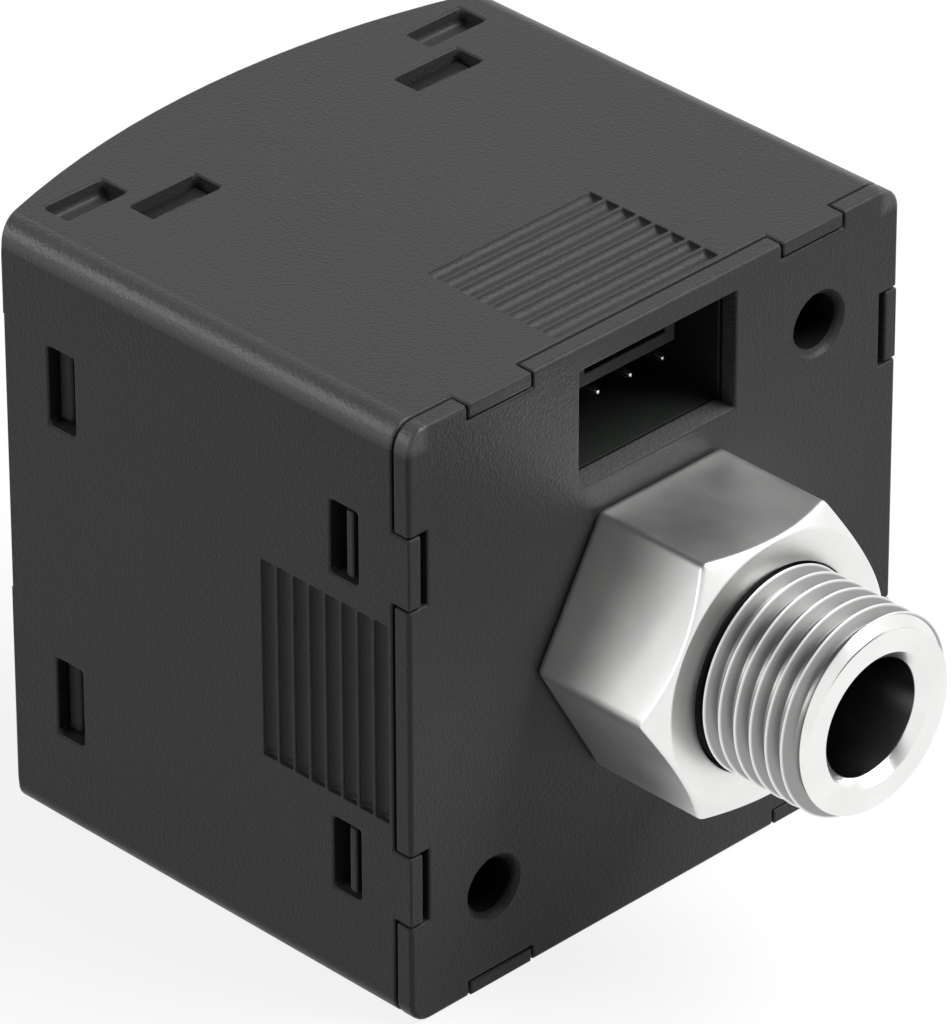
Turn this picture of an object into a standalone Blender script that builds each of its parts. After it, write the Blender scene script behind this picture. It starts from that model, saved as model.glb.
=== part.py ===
"""Compact pressure sensor with a display, built as an assembly of its real pieces.

Units are metres and +Z is up. The display looks along -Y and the pressure port points along +Y.
Pieces are placed in the frame of the empty "pressure_sensor": its Y = 0 is the rear face of the
rear cover, its Z = 0 is the axis of the port, and X = 0 is the middle. The left side is at +X.
"""

import math

import bmesh
import bpy
from mathutils import Matrix, Vector

MM = 0.001

# Fits
SLIDE_FIT = 0.10 * MM  # between moulded pieces that slide into each other
CONTACT = 0.05 * MM  # between faces that bear on each other
SOLDER_FIT = 0.10 * MM  # around contact pins

# Moulded body
BODY_WIDTH = 30.0 * MM
BODY_HEIGHT = 30.0 * MM
BODY_DEPTH = 27.85 * MM  # rear face to the crown of the curved front
FRONT_RADIUS = 44.0 * MM
EDGE_RADIUS = 1.1 * MM
WALL = 1.2 * MM
EDGE_SEGMENTS = 6
CORNER_SEGMENTS = 4
FRONT_SEGMENTS = 160  # around the full circle of the front curve

# Joint between the sleeve and the rear cover
RIM = 0.92 * MM  # thickness of the rear cover at its edge
SEAM = 0.15 * MM  # open joint in front of that edge
RIM_CHAMFER = 0.12 * MM
PLUG_DEPTH = 1.3 * MM  # how far the rear cover reaches into the sleeve
TAB_FIT = 0.12 * MM  # each side of a tab in its notch
SIDE_TAB_OFFSET = 8.03 * MM
SIDE_TAB_WIDTH = 3.5 * MM
SIDE_TAB_THICKNESS = 0.73 * MM
SIDE_NOTCH_DEPTH = 1.12 * MM
TOP_TAB_OFFSET = 9.55 * MM
TOP_TAB_WIDTH = 3.75 * MM
TOP_TAB_THICKNESS = 0.70 * MM
TOP_NOTCH_DEPTH = 0.80 * MM

# Snap windows, blind pockets and grip flutes in the sleeve
SNAP_OFFSET = 8.03 * MM
FRONT_WINDOW_WIDTH = 4.03 * MM
FRONT_WINDOW_LENGTH = 1.7 * MM
FRONT_WINDOW_SETBACK = 3.66 * MM  # from the front's corner edges to the middle
REAR_WINDOW_WIDTH = 3.70 * MM
REAR_WINDOW_LENGTH = 1.72 * MM
REAR_WINDOW_Y = -3.96 * MM
POCKET_OFFSET = 11.0 * MM
POCKET_WIDTH = 3.55 * MM
POCKET_LENGTH = 1.65 * MM
POCKET_SETBACK = 1.11 * MM
POCKET_DEPTH = 0.78 * MM
FLUTE_COUNT = 8
FLUTE_PITCH = 0.99 * MM
FLUTE_WIDTH = 0.86 * MM
FLUTE_DEPTH = 0.33 * MM
FLUTE_LENGTH = 10.0 * MM
FLUTE_END_CHAMFER = 0.06 * MM
FLUTES_Y = -5.2 * MM  # middle of the row of flutes

# Snap hooks
HOOK_CLEARANCE = 0.22 * MM  # each side of a nose in its window
HOOK_THICKNESS = 1.1 * MM
REAR_NOSE_LENGTH = 0.4 * MM
REAR_NOSE_GAP = 0.35 * MM  # from the nose to the catching edge of its window
REAR_NOSE_RECESS = 0.1 * MM  # below the outer face of the sleeve
REAR_RAMP = 0.95 * MM
FRONT_NOSE_GAP = 0.2 * MM
FRONT_NOSE_RECESS = 0.5 * MM
FRONT_RAMP = 0.5 * MM

# Rear cover
SCREW_EDGE_DISTANCE = 5.0 * MM  # from the body's sides, on one diagonal
SCREW_HOLE_RADIUS = 1.3 * MM
SCREW_CHAMFER = 0.35 * MM
SCREW_HOLE_DEPTH = 6.5 * MM
SCREW_BOSS_WALL = 1.0 * MM
SCREW_BOSS_FLOOR = 1.2 * MM
SOCKET_WIDTH = 9.6 * MM
SOCKET_HEIGHT = 5.86 * MM
SOCKET_SILL = 0.3 * MM  # extra length of the opening's lower edge

# Port fitting
HEX_FLATS = 13.0 * MM
HEX_LENGTH = 7.1 * MM
HEX_EDGE = 0.3 * MM
HEX_FACE_RADIUS = 6.45 * MM
HEX_CHAMFER_SLOPE = 0.70
PORT_REACH = 13.15 * MM
THREAD_RADIUS = 4.864 * MM
TIP_CHAMFER = 0.5 * MM
BORE_RADIUS = 2.77 * MM
BORE_DEPTH = 9.5 * MM
BORE_CHAMFER = 0.45 * MM
ORIFICE_RADIUS = 0.6 * MM
RECESS_RADIUS = 4.92 * MM
RECESS_DEPTH = 0.95 * MM
RELIEF_RADIUS = 4.0 * MM
THREAD_START = 0.3 * MM  # from the hexagon's face to the thread
SEAL_FIT = 0.06 * MM
SEAL_FACETS = 12
SHANK_RADIUS = 5.3 * MM
SHANK_LENGTH = 9.0 * MM
RING_GROOVE_DEPTH = 0.6 * MM
RING_WIDTH = 1.0 * MM
RING_THICKNESS = 0.8 * MM
RING_BREADTH = 1.25 * MM
RING_CLEARANCE = 0.15 * MM  # round the retaining ring and the shank, to the main board
RING_GAP_ANGLE = math.radians(50)
CELL_RADIUS = 4.2 * MM
CELL_THICKNESS = 1.8 * MM
CELL_SEAL_SECTION = 0.9 * MM
CELL_RETAINER_WALL = 0.9 * MM
CELL_RETAINER_LENGTH = 0.85 * MM
POCKET_FIT = 0.10 * MM
TURNED_STEPS = 48

# Electrical socket
PIN_COUNT = 4
PIN_PITCH = 2.0 * MM
PIN_SIZE = 0.5 * MM
PIN_TIP_INSET = 0.11 * MM
PIN_DROP = 3.73 * MM  # below the top of the opening
PIN_RECESS = 2.63 * MM  # pin tips below the rear face
PIN_TAPER = 0.4 * MM
PIN_TAIL = 0.2 * MM  # below the main board
HEADER_WALL = 0.7 * MM
HEADER_LIP = 0.05 * MM  # of the header's front edge seen inside the opening
HEADER_FLOOR = 0.69 * MM
HEADER_ROOF = 0.35 * MM
HEADER_BACK = 1.2 * MM
HEADER_PIN_GAP = 0.3 * MM  # from the header's back to the pins' legs
HEADER_LENGTH = 8.0 * MM
LATCH_WIDTH = 6.1 * MM
LATCH_SLOT_WIDTH = 4.96 * MM
LATCH_LENGTH = 1.5 * MM
LATCH_RECESS = 2.0 * MM
LATCH_DROP = 2.52 * MM  # below the top of the opening
LATCH_BAR = 0.60 * MM

# Boards
BOARD_THICKNESS = 1.0 * MM
BOARD_FIT = 0.2 * MM  # inside the hooks
MAIN_BOARD_REAR_GAP = 0.3 * MM  # from the cover's plug
MAIN_BOARD_FRONT_GAP = 0.4 * MM  # from the display board
CHIP_THICKNESS = 0.9 * MM
AMPLIFIER_WIDTH = 5.0 * MM
AMPLIFIER_INSET = 3.4 * MM  # from the board's right end
PROCESSOR_WIDTH = 6.0 * MM
CHIP_GAP = 0.35 * MM  # to the connector and to the header
CONNECTOR_WIDTH = 12.0 * MM
CONNECTOR_LENGTH = 3.2 * MM
CONNECTOR_HEIGHT = 3.6 * MM
RIBBON_WIDTH = 4.0 * MM
RIBBON_THICKNESS = 0.15 * MM
RIBBON_SHANK_GAP = 1.2 * MM
RIBBON_PIN_GAP = 1.2 * MM
RIBBON_BEND = 1.0 * MM
RIBBON_LAND = 2.0 * MM  # length along the main board
RIBBON_STEPS = 6

# Display and keys
COVER_THICKNESS = 2.0 * MM
COVER_SKIRT = 3.0 * MM
WINDOW_SIDE_MARGIN = 1.4 * MM  # from the edge of the front cover
WINDOW_TOP_MARGIN = 3.3 * MM
WINDOW_HEIGHT = 13.9 * MM
WINDOW_CORNER = 0.8 * MM
WINDOW_THICKNESS = 0.9 * MM
WINDOW_RECESS = 0.06 * MM  # of the full-width band that holds the window
WINDOW_BORDER = 1.6 * MM
WINDOW_FIT = 0.05 * MM
KEY_PITCH = 7.6 * MM
KEY_BOTTOM_MARGIN = 3.0 * MM
KEY_WIDTH = 5.4 * MM
KEY_HEIGHT = 4.2 * MM
KEY_CORNER = 1.0 * MM
KEY_PROUD = 0.3 * MM
KEY_FIT = 0.15 * MM
KEY_FLANGE = 0.5 * MM
KEY_FLANGE_THICKNESS = 0.6 * MM
KEY_STEM_RADIUS = 0.9 * MM
KEY_GAP = 0.3 * MM  # between a stem and its switch at rest
DISPLAY_GAP = 0.1 * MM
DISPLAY_BOARD_SETBACK = 5.4 * MM  # from the front's corner edges to the board's rear
PANEL_SIDE_MARGIN = 1.0 * MM  # inside the window
PANEL_END_MARGIN = 0.75 * MM
PANEL_THICKNESS = 1.6 * MM
STRIP_HEIGHT = 1.2 * MM
SWITCH_SIZE = 3.6 * MM
SWITCH_BODY = 1.2 * MM
SWITCH_PLUNGER_RADIUS = 0.8 * MM
SWITCH_PLUNGER = 0.5 * MM

# Places that follow from the sizes above, in the frame of the root empty
HALF_WIDTH = BODY_WIDTH / 2
HALF_HEIGHT = BODY_HEIGHT / 2
INNER_HALF_WIDTH = HALF_WIDTH - WALL
INNER_HALF_HEIGHT = HALF_HEIGHT - WALL
PLUG_HALF_WIDTH = INNER_HALF_WIDTH - SLIDE_FIT
PLUG_HALF_HEIGHT = INNER_HALF_HEIGHT - SLIDE_FIT
SLEEVE_REAR_Y = -(RIM + SEAM)
PLUG_Y = -(RIM + PLUG_DEPTH)
FRONT_CENTRE_Y = FRONT_RADIUS - BODY_DEPTH
FRONT_EDGE_Y = FRONT_CENTRE_Y - math.sqrt(FRONT_RADIUS ** 2 - HALF_WIDTH ** 2)
FRONT_WINDOW_Y = FRONT_EDGE_Y + FRONT_WINDOW_SETBACK
POCKET_Y = FRONT_EDGE_Y + POCKET_SETBACK
SOCKET_TOP = INNER_HALF_HEIGHT
SOCKET_BOTTOM = SOCKET_TOP - SOCKET_HEIGHT
PIN_Z = SOCKET_TOP - PIN_DROP
PIN_LEG_Y = -(RIM + SLIDE_FIT + HEADER_LENGTH + HEADER_PIN_GAP + PIN_SIZE / 2)
PIN_HOLE_HALF = PIN_SIZE / 2 + SOLDER_FIT
HEADER_HALF_WIDTH = SOCKET_WIDTH / 2 - HEADER_LIP + HEADER_WALL
HEADER_BOTTOM = SOCKET_BOTTOM - HEADER_FLOOR
MAIN_BOARD_TOP = HEADER_BOTTOM - CONTACT
BOARD_UNDERSIDE = MAIN_BOARD_TOP - BOARD_THICKNESS
BOARD_HALF_WIDTH = PLUG_HALF_WIDTH - HOOK_THICKNESS - BOARD_FIT
BOARD_HALF_HEIGHT = PLUG_HALF_HEIGHT - HOOK_THICKNESS - BOARD_FIT
DISPLAY_BOARD_Y = FRONT_EDGE_Y + DISPLAY_BOARD_SETBACK
DISPLAY_FRONT_Y = DISPLAY_BOARD_Y - BOARD_THICKNESS
CONNECTOR_REAR_Y = DISPLAY_BOARD_Y + CONTACT + CONNECTOR_LENGTH
WINDOW_WIDTH = 2 * (PLUG_HALF_WIDTH - WINDOW_SIDE_MARGIN)
WINDOW_Z = PLUG_HALF_HEIGHT - WINDOW_TOP_MARGIN - WINDOW_HEIGHT / 2
KEY_Z = KEY_BOTTOM_MARGIN + KEY_HEIGHT / 2 - PLUG_HALF_HEIGHT
RING_RADIUS = SHANK_RADIUS - RING_GROOVE_DEPTH + CONTACT + RING_BREADTH
CELL_REAR_Y = CELL_RETAINER_LENGTH + 2 * CONTACT - SHANK_LENGTH
CELL_FRONT_Y = CELL_REAR_Y + CELL_THICKNESS
CELL_POCKET_Y = CELL_FRONT_Y + CELL_SEAL_SECTION + 2 * CONTACT

SHARP_ANGLE = math.radians(35)
MERGE_DISTANCE = 0.01 * MM
OVERSHOOT = 2.0 * MM  # how far cutters pass through a wall
ROUND_SEGMENTS = 24
SIDES = ("left", "right", "top", "bottom")

root = None
solids = None
helpers = None

# Colour, roughness and metallic value
DARK_PLASTIC = ((0.045, 0.046, 0.046), 0.55, 0.0)
BLACK_PLASTIC = ((0.012, 0.012, 0.012), 0.45, 0.0)
NICKEL_PLATE = ((0.72, 0.72, 0.70), 0.25, 1.0)
BLACK_RUBBER = ((0.010, 0.010, 0.010), 0.60, 0.0)
TIN_PLATE = ((0.80, 0.79, 0.77), 0.30, 1.0)
SPRING_STEEL = ((0.45, 0.45, 0.46), 0.30, 1.0)
CERAMIC = ((0.80, 0.78, 0.72), 0.50, 0.0)
POLYIMIDE = ((0.55, 0.25, 0.04), 0.35, 0.0)
GREEN_BOARD = ((0.02, 0.14, 0.05), 0.40, 0.0)
SMOKED_GLASS = ((0.03, 0.03, 0.035), 0.08, 0.0)
DISPLAY_GLASS = ((0.12, 0.13, 0.12), 0.10, 0.0)
MILKY_PLASTIC = ((0.75, 0.75, 0.72), 0.40, 0.0)
GREY_RUBBER = ((0.20, 0.20, 0.22), 0.70, 0.0)


def start_scene():
    """Empties the scene and makes the two collections and the empty that carries every piece."""
    global root, solids, helpers
    for old in list(bpy.data.objects):
        bpy.data.objects.remove(old)
    solids = bpy.data.collections.new("pressure_sensor")
    helpers = bpy.data.collections.new("cutters")
    helpers.hide_render = True
    for group in (solids, helpers):
        bpy.context.scene.collection.children.link(group)
    root = bpy.data.objects.new("pressure_sensor", None)
    root.location = (0.0, (BODY_DEPTH + KEY_PROUD - PORT_REACH) / 2, HALF_HEIGHT)
    solids.objects.link(root)


def add_material(obj, look):
    """Gives a piece its own Principled material, from (colour, roughness, metallic)."""
    color, roughness, metallic = look
    made = bpy.data.materials.new(obj.name)
    made.use_nodes = True
    shader = made.node_tree.nodes["Principled BSDF"]
    shader.inputs["Base Color"].default_value = (*color, 1.0)
    shader.inputs["Roughness"].default_value = roughness
    shader.inputs["Metallic"].default_value = metallic
    obj.data.materials.append(made)


def new_object(name, bm):
    mesh = bpy.data.meshes.new(name)
    bmesh.ops.recalc_face_normals(bm, faces=bm.faces)
    bm.to_mesh(mesh)
    bm.free()
    mesh.shade_smooth()
    mesh.set_sharp_from_angle(angle=SHARP_ANGLE)
    obj = bpy.data.objects.new(name, mesh)
    obj.parent = root
    return obj


def as_piece(obj, look):
    solids.objects.link(obj)
    add_material(obj, look)
    return obj


def as_helper(obj):
    helpers.objects.link(obj)
    obj.hide_render = True
    obj.display_type = "WIRE"
    return obj


def piece(name, bm, look):
    return as_piece(new_object(name, bm), look)


def helper(name, bm):
    """A shape that only cuts or joins others."""
    return as_helper(new_object(name, bm))


def combine(host, other, operation="DIFFERENCE"):
    """Adds a Boolean to the host: DIFFERENCE cuts, UNION joins, INTERSECT trims."""
    step = host.modifiers.new(f"{operation.lower()}_{other.name}", "BOOLEAN")
    step.operation = operation
    step.object = other


def add_box(bm, low, high):
    """Adds a box between two corners and returns its vertices."""
    low, high = Vector(low), Vector(high)
    size = high - low
    matrix = Matrix.Translation((low + high) / 2) @ Matrix.Diagonal((*size, 1.0))
    return bmesh.ops.create_cube(bm, size=1.0, matrix=matrix)["verts"]


def box(low, high):
    bm = bmesh.new()
    add_box(bm, low, high)
    return bm


def edges_along(bm, axis):
    return [
        edge for edge in bm.edges
        if abs((edge.verts[0].co - edge.verts[1].co).normalized()[axis]) > 0.99
    ]


def round_edges(bm, edges, radius, segments):
    bmesh.ops.bevel(bm, geom=edges, offset=radius, segments=segments, profile=0.5, affect="EDGES")


def rounded_box(low, high, radius, axis=1, segments=EDGE_SEGMENTS):
    """A box whose edges along one axis are rounded."""
    bm = box(low, high)
    round_edges(bm, edges_along(bm, axis), radius, segments)
    return bm


def add_rod(bm, radius, start, end, segments=ROUND_SEGMENTS):
    """Adds a closed cylinder between two points and returns its vertices."""
    start, end = Vector(start), Vector(end)
    turn = (end - start).to_track_quat("Z", "Y").to_matrix().to_4x4()
    matrix = Matrix.Translation((start + end) / 2) @ turn
    made = bmesh.ops.create_cone(
        bm, cap_ends=True, segments=segments, radius1=radius, radius2=radius,
        depth=(end - start).length, matrix=matrix,
    )
    return made["verts"]


def rod(radius, start, end, segments=ROUND_SEGMENTS):
    bm = bmesh.new()
    add_rod(bm, radius, start, end, segments)
    return bm


def turned(name, profile, steps=TURNED_STEPS):
    """A profile of (radius, Y) points turned about an axis along Y.

    It runs down the outer side from the highest Y, and back up the inner side. A profile that
    starts and ends on the axis is left open there.
    """
    bm = bmesh.new()
    points = [bm.verts.new((radius, 0.0, along)) for radius, along in profile]
    ends = points[1:] if profile[0][0] == profile[-1][0] == 0.0 else points[1:] + points[:1]
    for first, second in zip(points, ends):
        bm.edges.new((first, second))
    mesh = bpy.data.meshes.new(name)
    bm.to_mesh(mesh)
    bm.free()
    obj = bpy.data.objects.new(name, mesh)
    obj.parent = root
    obj.rotation_euler = (-math.pi / 2, 0.0, 0.0)
    spin = obj.modifiers.new("turn", "SCREW")
    spin.axis = "Z"
    spin.steps = steps
    spin.render_steps = steps
    spin.use_merge_vertices = True
    spin.merge_threshold = MERGE_DISTANCE
    spin.use_smooth_shade = True
    return obj


def round_section(radius, centre_radius, centre_y, facets):
    """The profile of an O-ring."""
    turns = [math.pi / 2 - 2 * math.pi * index / facets for index in range(facets)]
    return [
        (centre_radius + radius * math.cos(turn), centre_y + radius * math.sin(turn))
        for turn in turns
    ]


def extruded(section, shift):
    """A closed outline of points, drawn out along a vector."""
    bm = bmesh.new()
    face = bm.faces.new([bm.verts.new(point) for point in section])
    grown = bmesh.ops.extrude_face_region(bm, geom=[face])
    moved = [item for item in grown["geom"] if isinstance(item, bmesh.types.BMVert)]
    bmesh.ops.translate(bm, vec=Vector(shift), verts=moved)
    return bm


def on_side(side, across, along, below):
    """A point of the body: across the side's face, along Y, and below its outer face."""
    if side == "left":
        return (HALF_WIDTH - below, along, across)
    if side == "right":
        return (below - HALF_WIDTH, along, across)
    if side == "top":
        return (across, along, HALF_HEIGHT - below)
    return (across, along, below - HALF_HEIGHT)


def add_side_box(bm, side, across, width, y_range, depth_range):
    """Adds a box given in the terms of one side of the body."""
    corners = [
        Vector(on_side(side, across + sign * width / 2, y_range[index], depth_range[index]))
        for index, sign in ((0, -1), (1, 1))
    ]
    low = [min(pair) for pair in zip(*corners)]
    high = [max(pair) for pair in zip(*corners)]
    return add_box(bm, low, high)


def front_curve(name, depth):
    """The solid behind the curved front, set back by a depth."""
    reach = HALF_HEIGHT + OVERSHOOT
    centre = (0.0, FRONT_CENTRE_Y)
    bm = rod(FRONT_RADIUS - depth, (*centre, -reach), (*centre, reach), FRONT_SEGMENTS)
    return helper(name, bm)


def front_y(depth, x):
    """Y of the curved front, set back by a depth, at a distance from the middle."""
    return FRONT_CENTRE_Y - math.sqrt((FRONT_RADIUS - depth) ** 2 - x ** 2)


def tab_places():
    """Side, offset, width, thickness and notch depth of the eight tabs."""
    for sign in (-1, 1):
        for side in ("left", "right"):
            across = sign * SIDE_TAB_OFFSET
            yield side, across, SIDE_TAB_WIDTH, SIDE_TAB_THICKNESS, SIDE_NOTCH_DEPTH
        for side in ("top", "bottom"):
            across = sign * TOP_TAB_OFFSET
            yield side, across, TOP_TAB_WIDTH, TOP_TAB_THICKNESS, TOP_NOTCH_DEPTH


def flute_cutters():
    """Round bars whose sides reach just below each face."""
    radius = (FLUTE_WIDTH ** 2 / 4 + FLUTE_DEPTH ** 2) / (2 * FLUTE_DEPTH)
    lift = radius - FLUTE_DEPTH
    bm = bmesh.new()
    for side in SIDES:
        for index in range(FLUTE_COUNT):
            along = FLUTES_Y + (index - (FLUTE_COUNT - 1) / 2) * FLUTE_PITCH
            ends = [on_side(side, sign * FLUTE_LENGTH / 2, along, -lift) for sign in (-1, 1)]
            verts = add_rod(bm, radius, *ends)
            rims = {
                edge for vert in verts for edge in vert.link_edges
                if any(len(face.verts) > 4 for face in edge.link_faces)
            }
            round_edges(bm, list(rims), FLUTE_END_CHAMFER, 1)
    return bm


def window_cutters():
    """Snap windows through the walls and blind pockets near the front."""
    bm = bmesh.new()
    through = (-OVERSHOOT, WALL + OVERSHOOT)
    blind = (-OVERSHOOT, POCKET_DEPTH)
    rows = (
        (SIDES, SNAP_OFFSET, FRONT_WINDOW_WIDTH, FRONT_WINDOW_Y, FRONT_WINDOW_LENGTH, through),
        (SIDES[:2], SNAP_OFFSET, REAR_WINDOW_WIDTH, REAR_WINDOW_Y, REAR_WINDOW_LENGTH, through),
        (SIDES[2:], POCKET_OFFSET, POCKET_WIDTH, POCKET_Y, POCKET_LENGTH, blind),
    )
    for sides, offset, width, middle, length, depth_range in rows:
        span = (middle - length / 2, middle + length / 2)
        for side in sides:
            for across in (-offset, offset):
                add_side_box(bm, side, across, width, span, depth_range)
    return bm


def build_housing():
    """Square moulded sleeve with a curved front end and eight rear tabs."""
    front = -(BODY_DEPTH + OVERSHOOT)
    outer = rounded_box(
        (-HALF_WIDTH, front, -HALF_HEIGHT), (HALF_WIDTH, SLEEVE_REAR_Y, HALF_HEIGHT), EDGE_RADIUS
    )
    housing = piece("housing", outer, DARK_PLASTIC)
    combine(housing, front_curve("front_face_curve", 0.0), "INTERSECT")
    combine(housing, window_band())
    cavity = box(
        (-INNER_HALF_WIDTH, front - OVERSHOOT, -INNER_HALF_HEIGHT),
        (INNER_HALF_WIDTH, OVERSHOOT, INNER_HALF_HEIGHT),
    )
    combine(housing, helper("sleeve_cavity", cavity))
    tabs = bmesh.new()
    for side, across, width, thickness, _ in tab_places():
        add_side_box(tabs, side, across, width, (SLEEVE_REAR_Y - WALL, 0.0), (0.0, thickness))
    combine(housing, helper("rear_tabs", tabs), "UNION")
    combine(housing, helper("window_cutters", window_cutters()))
    combine(housing, helper("flute_cutters", flute_cutters()))


def hook(name, side, across, width, root_y, catch_y, nose, ramp, recess):
    """A snap arm along the inside of a wall, with its nose in a window.

    The arm leaves root_y. Its nose starts at the catching face, catch_y, and ends in a ramp.
    """
    ahead = 1 if catch_y > root_y else -1
    surface = WALL + SLIDE_FIT
    far_y = catch_y + ahead * (nose + ramp)
    section = [
        (root_y, surface),
        (catch_y, surface),
        (catch_y, recess),
        (catch_y + ahead * nose, recess),
        (far_y, surface),
        (far_y, surface + HOOK_THICKNESS),
        (root_y, surface + HOOK_THICKNESS),
    ]
    start = across - width / 2
    points = [on_side(side, start, along, below) for along, below in section]
    shift = Vector(on_side(side, width, 0.0, 0.0)) - Vector(on_side(side, 0.0, 0.0, 0.0))
    return helper(name, extruded(points, shift))


def screw_places():
    """Centres of the two screw holes, on one diagonal."""
    x = HALF_WIDTH - SCREW_EDGE_DISTANCE
    z = HALF_HEIGHT - SCREW_EDGE_DISTANCE
    return ((-x, z), (x, -z))


def build_rear_cover():
    """Notched rear plate with its plug, screw bosses, snap hooks, socket opening and port hole."""
    plate = rounded_box(
        (-HALF_WIDTH, -RIM, -HALF_HEIGHT), (HALF_WIDTH, 0.0, HALF_HEIGHT), EDGE_RADIUS
    )
    rear_edges = [edge for edge in plate.edges if all(abs(v.co.y) < MERGE_DISTANCE for v in edge.verts)]
    round_edges(plate, rear_edges, RIM_CHAMFER, 1)
    cover = piece("rear_cover", plate, DARK_PLASTIC)

    plug = box(
        (-PLUG_HALF_WIDTH, PLUG_Y, -PLUG_HALF_HEIGHT), (PLUG_HALF_WIDTH, -RIM / 2, PLUG_HALF_HEIGHT)
    )
    combine(cover, helper("cover_plug", plug), "UNION")
    bosses = bmesh.new()
    for x, z in screw_places():
        bottom = -(SCREW_HOLE_DEPTH + SCREW_BOSS_FLOOR)
        add_rod(bosses, SCREW_HOLE_RADIUS + SCREW_BOSS_WALL, (x, bottom, z), (x, -RIM / 2, z))
    combine(cover, helper("screw_bosses", bosses), "UNION")

    catch_y = REAR_WINDOW_Y + REAR_WINDOW_LENGTH / 2 - REAR_NOSE_GAP
    width = REAR_WINDOW_WIDTH - 2 * HOOK_CLEARANCE
    for side in ("left", "right"):
        for level, sign in (("lower", -1), ("upper", 1)):
            arm = hook(
                f"rear_hook_{side}_{level}", side, sign * SNAP_OFFSET, width, -(RIM + SEAM),
                catch_y, REAR_NOSE_LENGTH, REAR_RAMP, REAR_NOSE_RECESS,
            )
            combine(cover, arm, "UNION")

    cuts = bmesh.new()
    for side, across, width, _, depth in tab_places():
        add_side_box(
            cuts, side, across, width + 2 * TAB_FIT,
            (-(RIM + SEAM / 2), OVERSHOOT), (-OVERSHOOT, depth),
        )
    combine(cover, helper("tab_notches", cuts))

    opening = box(
        (-SOCKET_WIDTH / 2, PLUG_Y - OVERSHOOT, SOCKET_BOTTOM),
        (SOCKET_WIDTH / 2, OVERSHOOT, SOCKET_TOP),
    )
    combine(cover, helper("socket_opening", opening))
    side = HEADER_HALF_WIDTH + SLIDE_FIT
    far_y = PLUG_Y - OVERSHOOT
    room = [
        (far_y, BOARD_UNDERSIDE - SLIDE_FIT),
        (-(RIM + SOCKET_SILL), BOARD_UNDERSIDE - SLIDE_FIT),
        (-(RIM + SOCKET_SILL), SOCKET_BOTTOM),
        (-RIM, SOCKET_BOTTOM),
        (-RIM, INNER_HALF_HEIGHT),
        (far_y, INNER_HALF_HEIGHT),
    ]
    header_room = extruded([(-side, along, up) for along, up in room], (2 * side, 0.0, 0.0))
    combine(cover, helper("header_room", header_room))
    hole = rod(SHANK_RADIUS + SLIDE_FIT, (0.0, far_y, 0.0), (0.0, OVERSHOOT, 0.0), TURNED_STEPS)
    combine(cover, helper("port_hole", hole))
    for index, (x, z) in enumerate(screw_places()):
        profile = [
            (0.0, OVERSHOOT),
            (SCREW_HOLE_RADIUS + SCREW_CHAMFER + OVERSHOOT, OVERSHOOT),
            (SCREW_HOLE_RADIUS, -SCREW_CHAMFER),
            (SCREW_HOLE_RADIUS, -SCREW_HOLE_DEPTH),
            (0.0, -SCREW_HOLE_DEPTH),
        ]
        hole = as_helper(turned(f"screw_hole_{index + 1}", profile, steps=ROUND_SEGMENTS))
        hole.location = (x, 0.0, z)
        combine(cover, hole)


def window_band():
    """Full-width cutter for the shallow step that holds the window."""
    side = HALF_WIDTH + OVERSHOOT
    half = WINDOW_HEIGHT / 2 + WINDOW_FIT
    bm = box(
        (-side, -BODY_DEPTH - OVERSHOOT, WINDOW_Z - half),
        (side, FRONT_EDGE_Y + OVERSHOOT, WINDOW_Z + half),
    )
    band = helper("window_band", bm)
    combine(band, front_curve("window_band_curve", WINDOW_RECESS))
    return band


def front_block(name, centre_x, centre_z, width, height, corner, rear_y):
    """A block with rounded corners, from ahead of the curved front back to rear_y."""
    return helper(name, front_block_mesh(centre_x, centre_z, width, height, corner, rear_y))


def front_block_mesh(centre_x, centre_z, width, height, corner, rear_y):
    return rounded_box(
        (centre_x - width / 2, -BODY_DEPTH - OVERSHOOT, centre_z - height / 2),
        (centre_x + width / 2, rear_y, centre_z + height / 2),
        corner, segments=CORNER_SEGMENTS,
    )


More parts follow.
